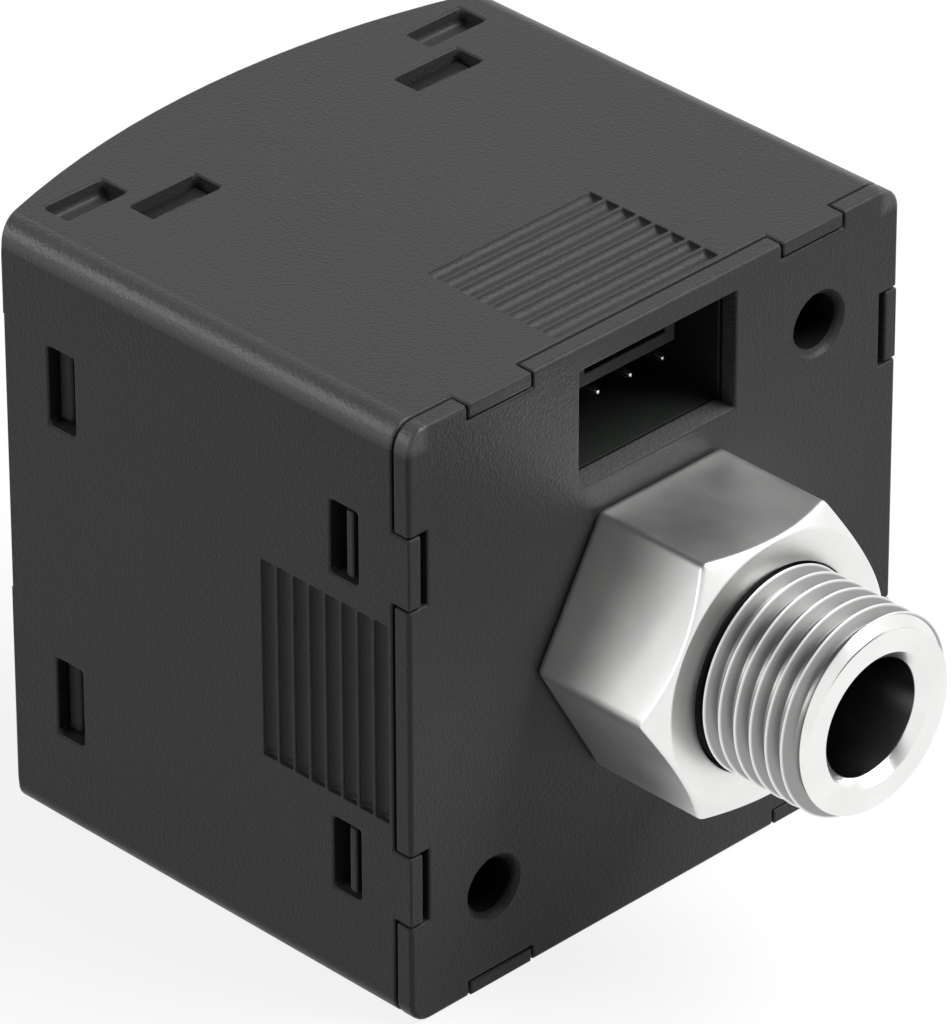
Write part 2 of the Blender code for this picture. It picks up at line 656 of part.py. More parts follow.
def build_front_cover():
    """Curved cap with a window seat, an aperture, key holes, a skirt and eight snap hooks."""
    skirt_y = front_y(0.0, PLUG_HALF_WIDTH) + COVER_SKIRT
    ahead_y = -BODY_DEPTH - OVERSHOOT
    block = box(
        (-PLUG_HALF_WIDTH, ahead_y, -PLUG_HALF_HEIGHT), (PLUG_HALF_WIDTH, skirt_y, PLUG_HALF_HEIGHT)
    )
    cover = piece("front_cover", block, BLACK_PLASTIC)
    combine(cover, bpy.data.objects["front_face_curve"], "INTERSECT")
    combine(cover, bpy.data.objects["window_band"])
    half_width = PLUG_HALF_WIDTH - HOOK_THICKNESS
    half_height = PLUG_HALF_HEIGHT - HOOK_THICKNESS
    hollow = helper("cap_hollow", box(
        (-half_width, ahead_y, -half_height), (half_width, skirt_y + OVERSHOOT, half_height)
    ))
    combine(hollow, front_curve("cap_inner_curve", COVER_THICKNESS), "INTERSECT")
    combine(cover, hollow)

    catch_y = FRONT_WINDOW_Y - FRONT_WINDOW_LENGTH / 2 + FRONT_NOSE_GAP
    width = FRONT_WINDOW_WIDTH - 2 * HOOK_CLEARANCE
    nose = FRONT_WINDOW_LENGTH - 2 * FRONT_NOSE_GAP - FRONT_RAMP
    for side in SIDES:
        for end, sign in (("minus", -1), ("plus", 1)):
            arm = hook(
                f"front_hook_{side}_{end}", side, sign * SNAP_OFFSET, width,
                skirt_y - COVER_SKIRT / 2, catch_y, nose, FRONT_RAMP, FRONT_NOSE_RECESS,
            )
            combine(cover, arm, "UNION")

    behind_y = skirt_y + OVERSHOOT
    seat = front_block(
        "window_seat", 0.0, WINDOW_Z, WINDOW_WIDTH + 2 * WINDOW_FIT,
        WINDOW_HEIGHT + 2 * WINDOW_FIT, WINDOW_CORNER + WINDOW_FIT, behind_y,
    )
    combine(seat, front_curve("window_seat_curve", WINDOW_RECESS + WINDOW_THICKNESS + CONTACT))
    combine(cover, seat)
    aperture = front_block(
        "display_aperture", 0.0, WINDOW_Z, WINDOW_WIDTH - 2 * WINDOW_BORDER,
        WINDOW_HEIGHT - 2 * WINDOW_BORDER, WINDOW_CORNER, behind_y,
    )
    combine(cover, aperture)
    for name, x in key_places():
        hole = front_block(
            f"{name}_hole", x, KEY_Z, KEY_WIDTH + 2 * KEY_FIT, KEY_HEIGHT + 2 * KEY_FIT,
            KEY_CORNER + KEY_FIT, behind_y,
        )
        combine(cover, hole)


def key_places():
    """Name and X of each key, from the viewer's left to right."""
    for index, name in enumerate(("key_left", "key_centre", "key_right")):
        yield name, (index - 1) * KEY_PITCH


def build_window():
    """Curved clear pane in its seat."""
    bm = front_block_mesh(
        0.0, WINDOW_Z, WINDOW_WIDTH, WINDOW_HEIGHT, WINDOW_CORNER, DISPLAY_FRONT_Y
    )
    pane = piece("display_window", bm, SMOKED_GLASS)
    combine(pane, bpy.data.objects["window_band_curve"], "INTERSECT")
    combine(pane, front_curve("window_inner_curve", WINDOW_RECESS + WINDOW_THICKNESS))


def build_keys():
    """Three push keys with a flange behind the cover and a stem towards their switch."""
    flange_depth = COVER_THICKNESS + SLIDE_FIT
    cap_curve = front_curve("key_cap_curve", -KEY_PROUD)
    flange_curve = front_curve("key_flange_curve", flange_depth)
    stem_y = DISPLAY_FRONT_Y - CONTACT - SWITCH_BODY - SWITCH_PLUNGER - KEY_GAP
    for name, x in key_places():
        flange_width = KEY_WIDTH + 2 * KEY_FLANGE
        rear_y = front_y(flange_depth, abs(x) + flange_width / 2) + KEY_FLANGE_THICKNESS
        cap = front_block_mesh(0.0, 0.0, KEY_WIDTH, KEY_HEIGHT, KEY_CORNER, rear_y)
        key = piece(name, cap, BLACK_RUBBER)
        key.location = (x, 0.0, KEY_Z)
        combine(key, cap_curve, "INTERSECT")
        flange = front_block(
            f"{name}_flange", x, KEY_Z, flange_width, KEY_HEIGHT + 2 * KEY_FLANGE,
            KEY_CORNER + KEY_FLANGE, rear_y,
        )
        combine(flange, flange_curve, "INTERSECT")
        combine(key, flange, "UNION")
        start_y = rear_y - KEY_FLANGE_THICKNESS / 2
        stem = rod(KEY_STEM_RADIUS, (x, start_y, KEY_Z), (x, stem_y, KEY_Z))
        combine(key, helper(f"{name}_stem", stem), "UNION")


def build_port():
    """Turned hexagonal fitting with a threaded nose, a seal recess, a bore and a cell pocket."""
    corner = HEX_FLATS / math.sqrt(3)
    prism = bmesh.new()
    matrix = Matrix.Translation((0.0, (HEX_LENGTH + CONTACT) / 2, 0.0))
    matrix @= Matrix.Rotation(-math.pi / 2, 4, "X") @ Matrix.Rotation(math.pi / 6, 4, "Z")
    bmesh.ops.create_cone(
        prism, cap_ends=True, segments=6, radius1=corner, radius2=corner,
        depth=HEX_LENGTH - CONTACT, matrix=matrix,
    )
    round_edges(prism, edges_along(prism, 1), HEX_EDGE, 3)
    base = [edge for edge in prism.edges if all(v.co.y < 2 * CONTACT for v in edge.verts)]
    round_edges(prism, base, HEX_EDGE, 2)
    fitting = piece("port_fitting", prism, NICKEL_PLATE)

    beyond = corner + OVERSHOOT
    blank = as_helper(turned("hexagon_turning", [
        (0.0, HEX_LENGTH),
        (HEX_FACE_RADIUS, HEX_LENGTH),
        (beyond, HEX_LENGTH - HEX_CHAMFER_SLOPE * (beyond - HEX_FACE_RADIUS)),
        (beyond, -OVERSHOOT),
        (0.0, -OVERSHOOT),
    ]))
    combine(fitting, blank, "INTERSECT")

    middle = HEX_LENGTH / 2
    nose = as_helper(turned("threaded_nose", [
        (0.0, PORT_REACH),
        (THREAD_RADIUS - TIP_CHAMFER, PORT_REACH),
        (THREAD_RADIUS, PORT_REACH - TIP_CHAMFER),
        (THREAD_RADIUS, middle),
        (SHANK_RADIUS, middle),
        (SHANK_RADIUS, PLUG_Y),
        (SHANK_RADIUS - RING_GROOVE_DEPTH, PLUG_Y),
        (SHANK_RADIUS - RING_GROOVE_DEPTH, PLUG_Y - RING_WIDTH),
        (SHANK_RADIUS, PLUG_Y - RING_WIDTH),
        (SHANK_RADIUS, -SHANK_LENGTH),
        (0.0, -SHANK_LENGTH),
    ]))
    combine(fitting, nose, "UNION")

    recess = as_helper(turned("seal_recess", [
        (RECESS_RADIUS, HEX_LENGTH + THREAD_START),
        (RECESS_RADIUS, HEX_LENGTH - RECESS_DEPTH),
        (RELIEF_RADIUS, HEX_LENGTH - RECESS_DEPTH),
        (RELIEF_RADIUS, HEX_LENGTH + THREAD_START),
    ]))
    combine(fitting, recess)

    bore_end = PORT_REACH - BORE_DEPTH
    mouth = BORE_RADIUS + BORE_CHAMFER
    bore = as_helper(turned("pressure_bore", [
        (0.0, PORT_REACH + OVERSHOOT),
        (mouth + OVERSHOOT, PORT_REACH + OVERSHOOT),
        (BORE_RADIUS, PORT_REACH - BORE_CHAMFER),
        (BORE_RADIUS, bore_end),
        (ORIFICE_RADIUS, bore_end),
        (ORIFICE_RADIUS, CELL_POCKET_Y),
        (CELL_RADIUS + POCKET_FIT, CELL_POCKET_Y),
        (CELL_RADIUS + POCKET_FIT, -SHANK_LENGTH - OVERSHOOT),
        (0.0, -SHANK_LENGTH - OVERSHOOT),
    ]))
    combine(fitting, bore)


def build_port_parts():
    """Seal ring, open retaining ring, cell seal, sensing cell, its retainer and its ribbon."""
    radius = (RECESS_RADIUS - RELIEF_RADIUS) / 2 - SEAL_FIT
    centre_y = HEX_LENGTH - RECESS_DEPTH + SEAL_FIT + radius
    middle = (RECESS_RADIUS + RELIEF_RADIUS) / 2
    section = round_section(radius, middle, centre_y, SEAL_FACETS)
    as_piece(turned("port_seal_ring", section), BLACK_RUBBER)

    inner = RING_RADIUS - RING_BREADTH
    ring_y = PLUG_Y - (RING_WIDTH - RING_THICKNESS) / 2
    ring = bmesh.new()
    corners = [
        (inner, ring_y), (RING_RADIUS, ring_y),
        (RING_RADIUS, ring_y - RING_THICKNESS), (inner, ring_y - RING_THICKNESS),
    ]
    points = [ring.verts.new((radius, along, 0.0)) for radius, along in corners]
    face = ring.faces.new(points)
    start = RING_GAP_ANGLE / 2 - math.pi / 2
    bmesh.ops.rotate(ring, verts=points, matrix=Matrix.Rotation(start, 3, "Y"))
    bmesh.ops.spin(
        ring, geom=[face, *ring.edges, *points], cent=(0.0, 0.0, 0.0), axis=(0.0, 1.0, 0.0),
        angle=2 * math.pi - RING_GAP_ANGLE, steps=TURNED_STEPS,
    )
    piece("retaining_ring", ring, SPRING_STEEL)

    seal_radius = CELL_SEAL_SECTION / 2
    section = round_section(
        seal_radius, CELL_RADIUS - CELL_SEAL_SECTION, CELL_POCKET_Y - CONTACT - seal_radius,
        SEAL_FACETS,
    )
    as_piece(turned("cell_seal", section), BLACK_RUBBER)
    cell = rod(CELL_RADIUS, (0.0, CELL_REAR_Y, 0.0), (0.0, CELL_FRONT_Y, 0.0), TURNED_STEPS)
    piece("sensing_cell", cell, CERAMIC)
    outer = CELL_RADIUS + POCKET_FIT - CONTACT
    inner = CELL_RADIUS - CELL_RETAINER_WALL
    top = CELL_REAR_Y - CONTACT
    profile = [
        (outer, top), (outer, top - CELL_RETAINER_LENGTH),
        (inner, top - CELL_RETAINER_LENGTH), (inner, top),
    ]
    as_piece(turned("cell_retainer", profile), NICKEL_PLATE)

    piece("cell_ribbon", ribbon_strip(), POLYIMIDE)
    thicken = bpy.data.objects["cell_ribbon"].modifiers.new("thickness", "SOLIDIFY")
    thicken.thickness = RIBBON_THICKNESS
    thicken.offset = 0.0


def ribbon_strip():
    """The middle surface of the ribbon: out of the cell, up behind the shank, under the board."""
    upright_y = min(PIN_LEG_Y - RIBBON_PIN_GAP, -(SHANK_LENGTH + RIBBON_SHANK_GAP))
    top_z = BOARD_UNDERSIDE - CONTACT - RIBBON_THICKNESS / 2
    path = [(CELL_REAR_Y - CONTACT, 0.0)]
    for index in range(RIBBON_STEPS + 1):
        turn = math.pi / 2 * index / RIBBON_STEPS
        path.append((
            upright_y + RIBBON_BEND * (1 - math.sin(turn)), RIBBON_BEND * (1 - math.cos(turn)),
        ))
    for index in range(RIBBON_STEPS + 1):
        turn = math.pi / 2 * index / RIBBON_STEPS
        path.append((
            upright_y - RIBBON_BEND * (1 - math.cos(turn)),
            top_z - RIBBON_BEND * (1 - math.sin(turn)),
        ))
    path.append((upright_y - RIBBON_BEND - RIBBON_LAND, top_z))
    bm = bmesh.new()
    points = [bm.verts.new((-RIBBON_WIDTH / 2, along, up)) for along, up in path]
    edges = [bm.edges.new(pair) for pair in zip(points, points[1:])]
    grown = bmesh.ops.extrude_edge_only(bm, edges=edges)
    moved = [item for item in grown["geom"] if isinstance(item, bmesh.types.BMVert)]
    bmesh.ops.translate(bm, vec=(RIBBON_WIDTH, 0.0, 0.0), verts=moved)
    return bm


def pin_places():
    return [(index - (PIN_COUNT - 1) / 2) * PIN_PITCH for index in range(PIN_COUNT)]


def build_socket():
    """Socket header with its latch bridge, and four bent contact pins."""
    face_y = -(RIM + SLIDE_FIT)
    back_y = face_y - HEADER_LENGTH
    roof_z = PLUG_HALF_HEIGHT
    ceiling_z = roof_z - HEADER_ROOF
    header = piece("socket_header", box(
        (-HEADER_HALF_WIDTH, back_y, HEADER_BOTTOM), (HEADER_HALF_WIDTH, face_y, roof_z)
    ), BLACK_PLASTIC)
    steps = bmesh.new()
    side = HEADER_HALF_WIDTH + OVERSHOOT
    sill_z = SOCKET_BOTTOM + CONTACT
    add_box(steps, (-side, face_y - SOCKET_SILL, HEADER_BOTTOM - OVERSHOOT), (side, OVERSHOOT, sill_z))
    add_box(steps, (-side, -LATCH_RECESS, ceiling_z), (side, OVERSHOOT, roof_z + OVERSHOOT))
    combine(header, helper("header_steps", steps))
    side = SOCKET_WIDTH / 2 - HEADER_LIP
    cavity = box((-side, back_y + HEADER_BACK, SOCKET_BOTTOM), (side, OVERSHOOT, ceiling_z))
    combine(header, helper("plug_cavity", cavity))

    latch_z = SOCKET_TOP - LATCH_DROP
    latch_back_y = -(LATCH_RECESS + LATCH_LENGTH)
    block = box(
        (-LATCH_WIDTH / 2, latch_back_y, latch_z),
        (LATCH_WIDTH / 2, -LATCH_RECESS, ceiling_z + HEADER_ROOF / 2),
    )
    combine(header, helper("latch_block", block), "UNION")
    slot = box(
        (-LATCH_SLOT_WIDTH / 2, latch_back_y - OVERSHOOT, latch_z + LATCH_BAR),
        (LATCH_SLOT_WIDTH / 2, OVERSHOOT, ceiling_z),
    )
    combine(header, helper("latch_slot", slot))

    holes = bmesh.new()
    for x in pin_places():
        add_box(
            holes, (x - PIN_HOLE_HALF, back_y - OVERSHOOT, PIN_Z - PIN_HOLE_HALF),
            (x + PIN_HOLE_HALF, back_y + HEADER_BACK + OVERSHOOT, PIN_Z + PIN_HOLE_HALF),
        )
    combine(header, helper("header_pin_holes", holes))
    for index, x in enumerate(pin_places()):
        build_pin(f"socket_pin_{index + 1}", x)


def build_pin(name, x):
    """A square pin from its tapered tip through the header, bent down through the board."""
    half = PIN_SIZE / 2
    tip_y = -PIN_RECESS
    foot_z = BOARD_UNDERSIDE - PIN_TAIL - PIN_Z
    section = [
        (tip_y, half),
        (tip_y - PIN_TAPER, half),
        (PIN_LEG_Y - half, half),
        (PIN_LEG_Y - half, foot_z),
        (PIN_LEG_Y + half, foot_z),
        (PIN_LEG_Y + half, -half),
        (tip_y - PIN_TAPER, -half),
        (tip_y, -half),
    ]
    bm = extruded([(-half, along, up) for along, up in section], (PIN_SIZE, 0.0, 0.0))
    tip = [vert for vert in bm.verts if vert.co.y > tip_y - PIN_TAPER / 2]
    share = 1 - 2 * PIN_TIP_INSET / PIN_SIZE
    bmesh.ops.scale(bm, vec=(share, 1.0, share), verts=tip)
    pin = piece(name, bm, TIN_PLATE)
    pin.location = (x, 0.0, PIN_Z)


def build_main_board():
    """Main board under the socket, with its chips and the connector to the display board."""
    low = (-BOARD_HALF_WIDTH, DISPLAY_BOARD_Y + MAIN_BOARD_FRONT_GAP, BOARD_UNDERSIDE)
    high = (BOARD_HALF_WIDTH, PLUG_Y - MAIN_BOARD_REAR_GAP, MAIN_BOARD_TOP)
    board = piece("main_board", box(low, high), GREEN_BOARD)
    holes = bmesh.new()
    for x in pin_places():
        add_box(
            holes, (x - PIN_HOLE_HALF, PIN_LEG_Y - PIN_HOLE_HALF, BOARD_UNDERSIDE - OVERSHOOT),
            (x + PIN_HOLE_HALF, PIN_LEG_Y + PIN_HOLE_HALF, MAIN_BOARD_TOP + OVERSHOOT),
        )
    combine(board, helper("board_pin_holes", holes))
    front_end = (0.0, -(SHANK_LENGTH + RING_CLEARANCE), 0.0)
    clear = rod(RING_RADIUS + RING_CLEARANCE, front_end, (0.0, OVERSHOOT, 0.0), TURNED_STEPS)
    combine(board, helper("shank_clearance", clear))
    bottom_z = MAIN_BOARD_TOP + CONTACT
    piece("board_connector", box(
        (-CONNECTOR_WIDTH / 2, CONNECTOR_REAR_Y - CONNECTOR_LENGTH, bottom_z),
        (CONNECTOR_WIDTH / 2, CONNECTOR_REAR_Y, bottom_z + CONNECTOR_HEIGHT),
    ), BLACK_PLASTIC)
    processor_x = HEADER_HALF_WIDTH + CHIP_GAP + PROCESSOR_WIDTH / 2
    build_chip("processor_chip", processor_x, PROCESSOR_WIDTH, MAIN_BOARD_TOP, 1)
    amplifier_x = AMPLIFIER_INSET + AMPLIFIER_WIDTH / 2 - BOARD_HALF_WIDTH
    build_chip("amplifier_chip", amplifier_x, AMPLIFIER_WIDTH, BOARD_UNDERSIDE, -1)


def build_chip(name, x, width, face_z, up):
    """A square chip behind the connector, on the upper or lower face of the main board."""
    front_y = CONNECTOR_REAR_Y + CHIP_GAP
    low_z, high_z = sorted((face_z + up * CONTACT, face_z + up * (CONTACT + CHIP_THICKNESS)))
    bm = box((x - width / 2, front_y, low_z), (x + width / 2, front_y + width, high_z))
    piece(name, bm, BLACK_PLASTIC)


def build_display():
    """Display board with its panel, light guide, contact strip and key switches."""
    piece("display_board", box(
        (-BOARD_HALF_WIDTH, DISPLAY_FRONT_Y, -BOARD_HALF_HEIGHT),
        (BOARD_HALF_WIDTH, DISPLAY_BOARD_Y, BOARD_HALF_HEIGHT),
    ), GREEN_BOARD)
    half = WINDOW_WIDTH / 2 - PANEL_SIDE_MARGIN
    low_z = WINDOW_Z - WINDOW_HEIGHT / 2 + PANEL_END_MARGIN
    high_z = WINDOW_Z + WINDOW_HEIGHT / 2 - PANEL_END_MARGIN
    face_y = front_y(COVER_THICKNESS, half) + DISPLAY_GAP
    near_y = face_y + PANEL_THICKNESS
    panel = box((-half, face_y, low_z), (half, near_y, high_z))
    piece("display_panel", panel, DISPLAY_GLASS)
    near_y += CONTACT
    far_y = DISPLAY_FRONT_Y - CONTACT
    strip_z = low_z + STRIP_HEIGHT
    strip = box((-half, near_y, low_z), (half, far_y, strip_z))
    piece("contact_strip", strip, GREY_RUBBER)
    guide = box((-half, near_y, strip_z + CONTACT), (half, far_y, high_z))
    piece("light_guide", guide, MILKY_PLASTIC)
    for name, x in key_places():
        build_switch(name, x, far_y)


def build_switch(key_name, x, foot_y):
    """The push switch behind a key."""
    body_y = foot_y - SWITCH_BODY
    half = SWITCH_SIZE / 2
    body = box((x - half, body_y, KEY_Z - half), (x + half, foot_y, KEY_Z + half))
    switch = piece(key_name.replace("key", "key_switch"), body, BLACK_PLASTIC)
    tip_y = body_y - SWITCH_PLUNGER
    plunger = rod(SWITCH_PLUNGER_RADIUS, (x, tip_y, KEY_Z), (x, body_y + CONTACT, KEY_Z))
    combine(switch, helper(f"{key_name}_plunger", plunger), "UNION")


start_scene()
build_housing()
build_rear_cover()
build_front_cover()
build_window()
build_keys()
build_port()
build_port_parts()
build_socket()
build_main_board()
build_display()
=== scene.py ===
"""Finished pieces, finishes and studio for a compact pressure sensor with a display.

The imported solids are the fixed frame, in metres with +Z up. The display looks along -Y and the
port points along +Y. The moulded pieces, the keys and the socket are copies of their solids with
rounded edges. The port fitting is turned afresh with a real thread.
"""

import math

import bmesh
import bpy
from mathutils import Matrix, Vector


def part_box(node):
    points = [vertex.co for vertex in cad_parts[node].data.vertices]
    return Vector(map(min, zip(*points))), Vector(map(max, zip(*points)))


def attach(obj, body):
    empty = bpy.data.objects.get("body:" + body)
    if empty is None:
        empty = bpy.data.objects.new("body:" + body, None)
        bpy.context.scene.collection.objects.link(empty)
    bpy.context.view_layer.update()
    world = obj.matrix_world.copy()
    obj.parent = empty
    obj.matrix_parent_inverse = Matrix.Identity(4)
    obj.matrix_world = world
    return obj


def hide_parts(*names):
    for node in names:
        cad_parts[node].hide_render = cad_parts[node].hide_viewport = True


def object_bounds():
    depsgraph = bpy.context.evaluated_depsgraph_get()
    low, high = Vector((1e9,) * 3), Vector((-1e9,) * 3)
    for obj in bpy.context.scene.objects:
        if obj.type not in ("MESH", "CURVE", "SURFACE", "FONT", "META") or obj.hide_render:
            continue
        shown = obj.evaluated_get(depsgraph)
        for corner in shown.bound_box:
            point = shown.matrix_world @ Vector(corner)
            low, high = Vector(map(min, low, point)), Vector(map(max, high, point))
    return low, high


bl_info = {
    "name": "Pressure Sensor Dressing",
    "version": (1, 0, 0),
    "blender": (4, 5, 0),
    "location": "3D View > Sidebar > Sensor",
    "description": "Builds the visible pieces, the finishes and the studio of a pressure sensor",
    "category": "Object",
}

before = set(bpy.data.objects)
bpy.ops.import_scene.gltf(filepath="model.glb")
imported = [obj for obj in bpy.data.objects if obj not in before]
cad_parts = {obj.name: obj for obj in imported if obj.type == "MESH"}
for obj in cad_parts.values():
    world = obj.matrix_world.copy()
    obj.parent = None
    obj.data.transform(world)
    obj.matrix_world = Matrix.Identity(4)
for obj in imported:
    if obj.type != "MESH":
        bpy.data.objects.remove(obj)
CAD_BOX = [list(corner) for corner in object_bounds()]

MM = 0.001
BODY = "sensor_body"

# Copies of the solids: what counts as one point, as one flat face and as a sharp edge
POINT_SIZE = 0.002 * MM
FLAT_ANGLE = math.radians(0.3)
SHARP_ANGLE = math.radians(28)
ROUNDED_SHARE = 0.45  # most of a neighbouring edge that a rounding may use up
SMOOTH_ANGLE = math.radians(30.0)  # edges past this angle are shaded sharp

COVER_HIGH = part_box("rear_cover")[1]
FITTING_LOW, FITTING_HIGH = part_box("port_fitting")
REAR_Y = COVER_HIGH.y  # rear face of the sensor
AXIS_Z = (FITTING_LOW.z + FITTING_HIGH.z) / 2  # height of the port's axis

# Camera, from the perspective of the photograph, relative to the port's axis on the rear face
CAMERA_AZIMUTH = math.radians(135.280)
CAMERA_ELEVATION = math.radians(31.643)
CAMERA_ROLL = math.radians(-0.166)
CAMERA_DISTANCE = 413.67 * MM
CAMERA_ACROSS = -7.846 * MM
CAMERA_UP = 4.045 * MM
CAMERA_SENSOR = 36.0  # millimetres, along the photograph's longer side
CAMERA_LENS = 9526.9 * CAMERA_SENSOR / 1024.0  # from a focal length in the photograph's pixels

# Port fitting, along the axis from the rear face
HEX_HALF_FLATS = 6.5 * MM
HEX_LENGTH = 7.1 * MM
HEX_FACE_RADIUS = 6.45 * MM
HEX_CHAMFER_SLOPE = 0.70
HEX_CHAMFER_START = 5.75 * MM
HEX_CORNER_RADIUS = HEX_HALF_FLATS / math.cos(math.pi / 6)
FOOT_ROUND = 0.30 * MM  # of the hexagon's edge beside the rear face
FOOT_START = 0.05 * MM
PORT_REACH = FITTING_HIGH.y - REAR_Y
PORT_BASE = FITTING_LOW.y - REAR_Y
THREAD_RADIUS = 4.864 * MM
THREAD_DEPTH = 0.581 * MM
THREAD_HALF_ANGLE = math.radians(27.5)
CREST_ROUND = 0.03 * MM
ROOT_ROUND = 0.08 * MM
FIRST_CREST = 7.486 * MM  # on the +X side
THREAD_TURNS = 10  # more than the port shows: the ends are cut off
THREAD_STEPS = 96  # a turn
RUNOUT_STEP = 0.12 * MM  # how far the thread stands out of its relief where it begins
RUNOUT_SLOPE = 7.0
TIP_RADIUS = 4.33 * MM
RECESS_RADIUS = 4.92 * MM
RECESS_FLOOR = 6.15 * MM
RELIEF_RADIUS = 4.0 * MM
RELIEF_TOP = 7.0 * MM
BORE_MOUTH = 3.22 * MM
BORE_RADIUS = 2.77 * MM
BORE_END = 3.65 * MM
ORIFICE_RADIUS = 0.6 * MM
SHANK_RADIUS = 5.3 * MM
GROOVE_RADIUS = 4.7 * MM
GROOVE_Y = (-2.22 * MM, -3.22 * MM)
CELL_POCKET_RADIUS = 4.3 * MM
CELL_POCKET_Y = -5.25 * MM

# Windows of the housing, from the rear face and from the port's axis
NOTCH_REACH = 2.6 * MM
WINDOW_DEPTH = 13.2 * MM

# Screw holes of the rear face, from the port's axis
SCREW_AWAY = 10.0 * MM
SCREW_MOUTH = 1.9 * MM
SCREW_RADIUS = 1.3 * MM
SCREW_CHAMFER = 0.35 * MM

# Contact pins: side, length of the end that is drawn in, and what is left of its width there
PIN_SIZE = 0.5 * MM
PIN_END = 0.5 * MM
PIN_END_SHARE = 0.66

# Opening of the plug socket: half its width, and its lower and upper edge from the port's axis
MOUTH_HALF_WIDTH = 4.8 * MM
MOUTH_SILL = 7.94 * MM
MOUTH_LINTEL = 13.8 * MM

# Body plastic: the shine of its long roundings, the painted light that makes the mouth paler and
# the painted shade inside the holes
SHINE_LEVEL = 0.60
SHINE_START = 1.25 * MM  # from the sides of the body
SHINE_FULL = 0.80 * MM
PLAIN_LEVEL = 0.14
# painted light: how many times paler the walls of the plug socket's opening are painted
MOUTH_PAINTED_LIGHT = 1.9
MOUTH_RELIEF = 2.2  # added to the height of the pebbles
# painted shade inside the screw holes: the share of the colour that is left
SHAFT_PAINTED_SHADE = 0.22
NEARBY = 0.02 * MM  # room that is given to the walls of an opening

# Port plating: the painted shade in the thread's valleys and in the bore
VALLEY_RAMP = 0.10 * MM
VALLEY_PAINTED_SHADE = 0.36
THREAD_ROUGHER = 0.14
THREAD_INSIDE = TIP_RADIUS - 0.12 * MM
THREAD_END = REAR_Y + PORT_REACH - 0.45 * MM
# painted shade inside the bore
BORE_PAINTED_SHADE = (0.12, 0.12, 0.12)

# Studio: (name, direction from the sensor, distance, side, level) of each soft light
LIGHTS = (
    ("key_light", (-0.42, 0.37, 0.83), 0.45, 0.32, 1.34),
    ("back_light", (0.58, -0.62, 0.50), 0.60, 0.24, 0.16),
    ("side_light", (0.82, -0.30, 0.42), 0.60, 0.18, 0.14),
)
FLOOR_RADIUS = 3.0
FLOOR_GLOW = 0.85  # added where the floor is seen
WORLD_LEVEL = 0.07  # what the world adds to the light
ZENITH_LEVEL = 0.08  # how bright the world is seen overhead, where the horizon is 1
SKY_RAMP = (0.50, 0.78)  # heights, as sines, between which the world darkens


class SensorSizes(bpy.types.PropertyGroup):
    """Sizes of the roundings, the thread and the surface texture."""

    edge_round: bpy.props.FloatProperty(
        name="Edge rounding", description="Rounding of the moulded pieces' outer edges",
        default=0.10 * MM, min=0.0, unit="LENGTH", precision=5,
    )
    corner_round: bpy.props.FloatProperty(
        name="Window corners", description="Rounding of the snap windows' corners",
        default=0.24 * MM, min=0.0, unit="LENGTH", precision=5,
    )
    fine_round: bpy.props.FloatProperty(
        name="Fine rounding", description="Rounding of the socket's and the pins' edges",
        default=0.05 * MM, min=0.0, unit="LENGTH", precision=5,
    )
    thread_pitch: bpy.props.FloatProperty(
        name="Thread pitch", description="Distance between two crests of the port's thread",
        default=0.907 * MM, min=0.2 * MM, unit="LENGTH", precision=5,
    )
    hexagon_round: bpy.props.FloatProperty(
        name="Hexagon rounding", description="Softness of the hexagon's edges",
        default=0.24 * MM, min=0.01 * MM, unit="LENGTH", precision=5,
    )
    grain: bpy.props.FloatProperty(
        name="Mould grain", description="Size of the grain moulded into the plastic",
        default=0.17 * MM, min=0.01 * MM, unit="LENGTH", precision=5,
    )


class SensorColours(bpy.types.PropertyGroup):
    """Colours of the visible finishes."""

    plastic: bpy.props.FloatVectorProperty(
        name="Body plastic", description="Moulded housing and covers", subtype="COLOR",
        default=(0.046, 0.046, 0.045), min=0.0, max=1.0,
    )
    black: bpy.props.FloatVectorProperty(
        name="Black plastic", description="Front cover and inner connectors", subtype="COLOR",
        default=(0.011, 0.012, 0.011), min=0.0, max=1.0,
    )
    header: bpy.props.FloatVectorProperty(
        name="Socket plastic", description="Header inside the electrical socket", subtype="COLOR",
        default=(0.022, 0.025, 0.022), min=0.0, max=1.0,
    )
    plating: bpy.props.FloatVectorProperty(
        name="Nickel plating", description="Port fitting", subtype="COLOR",
        default=(0.85, 0.85, 0.84), min=0.0, max=1.0,
    )
    rubber: bpy.props.FloatVectorProperty(
        name="Rubber", description="Seal ring and keys", subtype="COLOR",
        default=(0.012, 0.012, 0.012), min=0.0, max=1.0,
    )
    contacts: bpy.props.FloatVectorProperty(
        name="Contacts", description="Plated socket pins", subtype="COLOR",
        default=(0.80, 0.79, 0.77), min=0.0, max=1.0,
    )
    floor: bpy.props.FloatVectorProperty(
        name="Floor", description="Studio floor", subtype="COLOR",
        default=(0.16, 0.16, 0.16), min=0.0, max=1.0,
    )


def sizes():
    return bpy.context.scene.sensor_sizes


def colours():
    return bpy.context.scene.sensor_colours


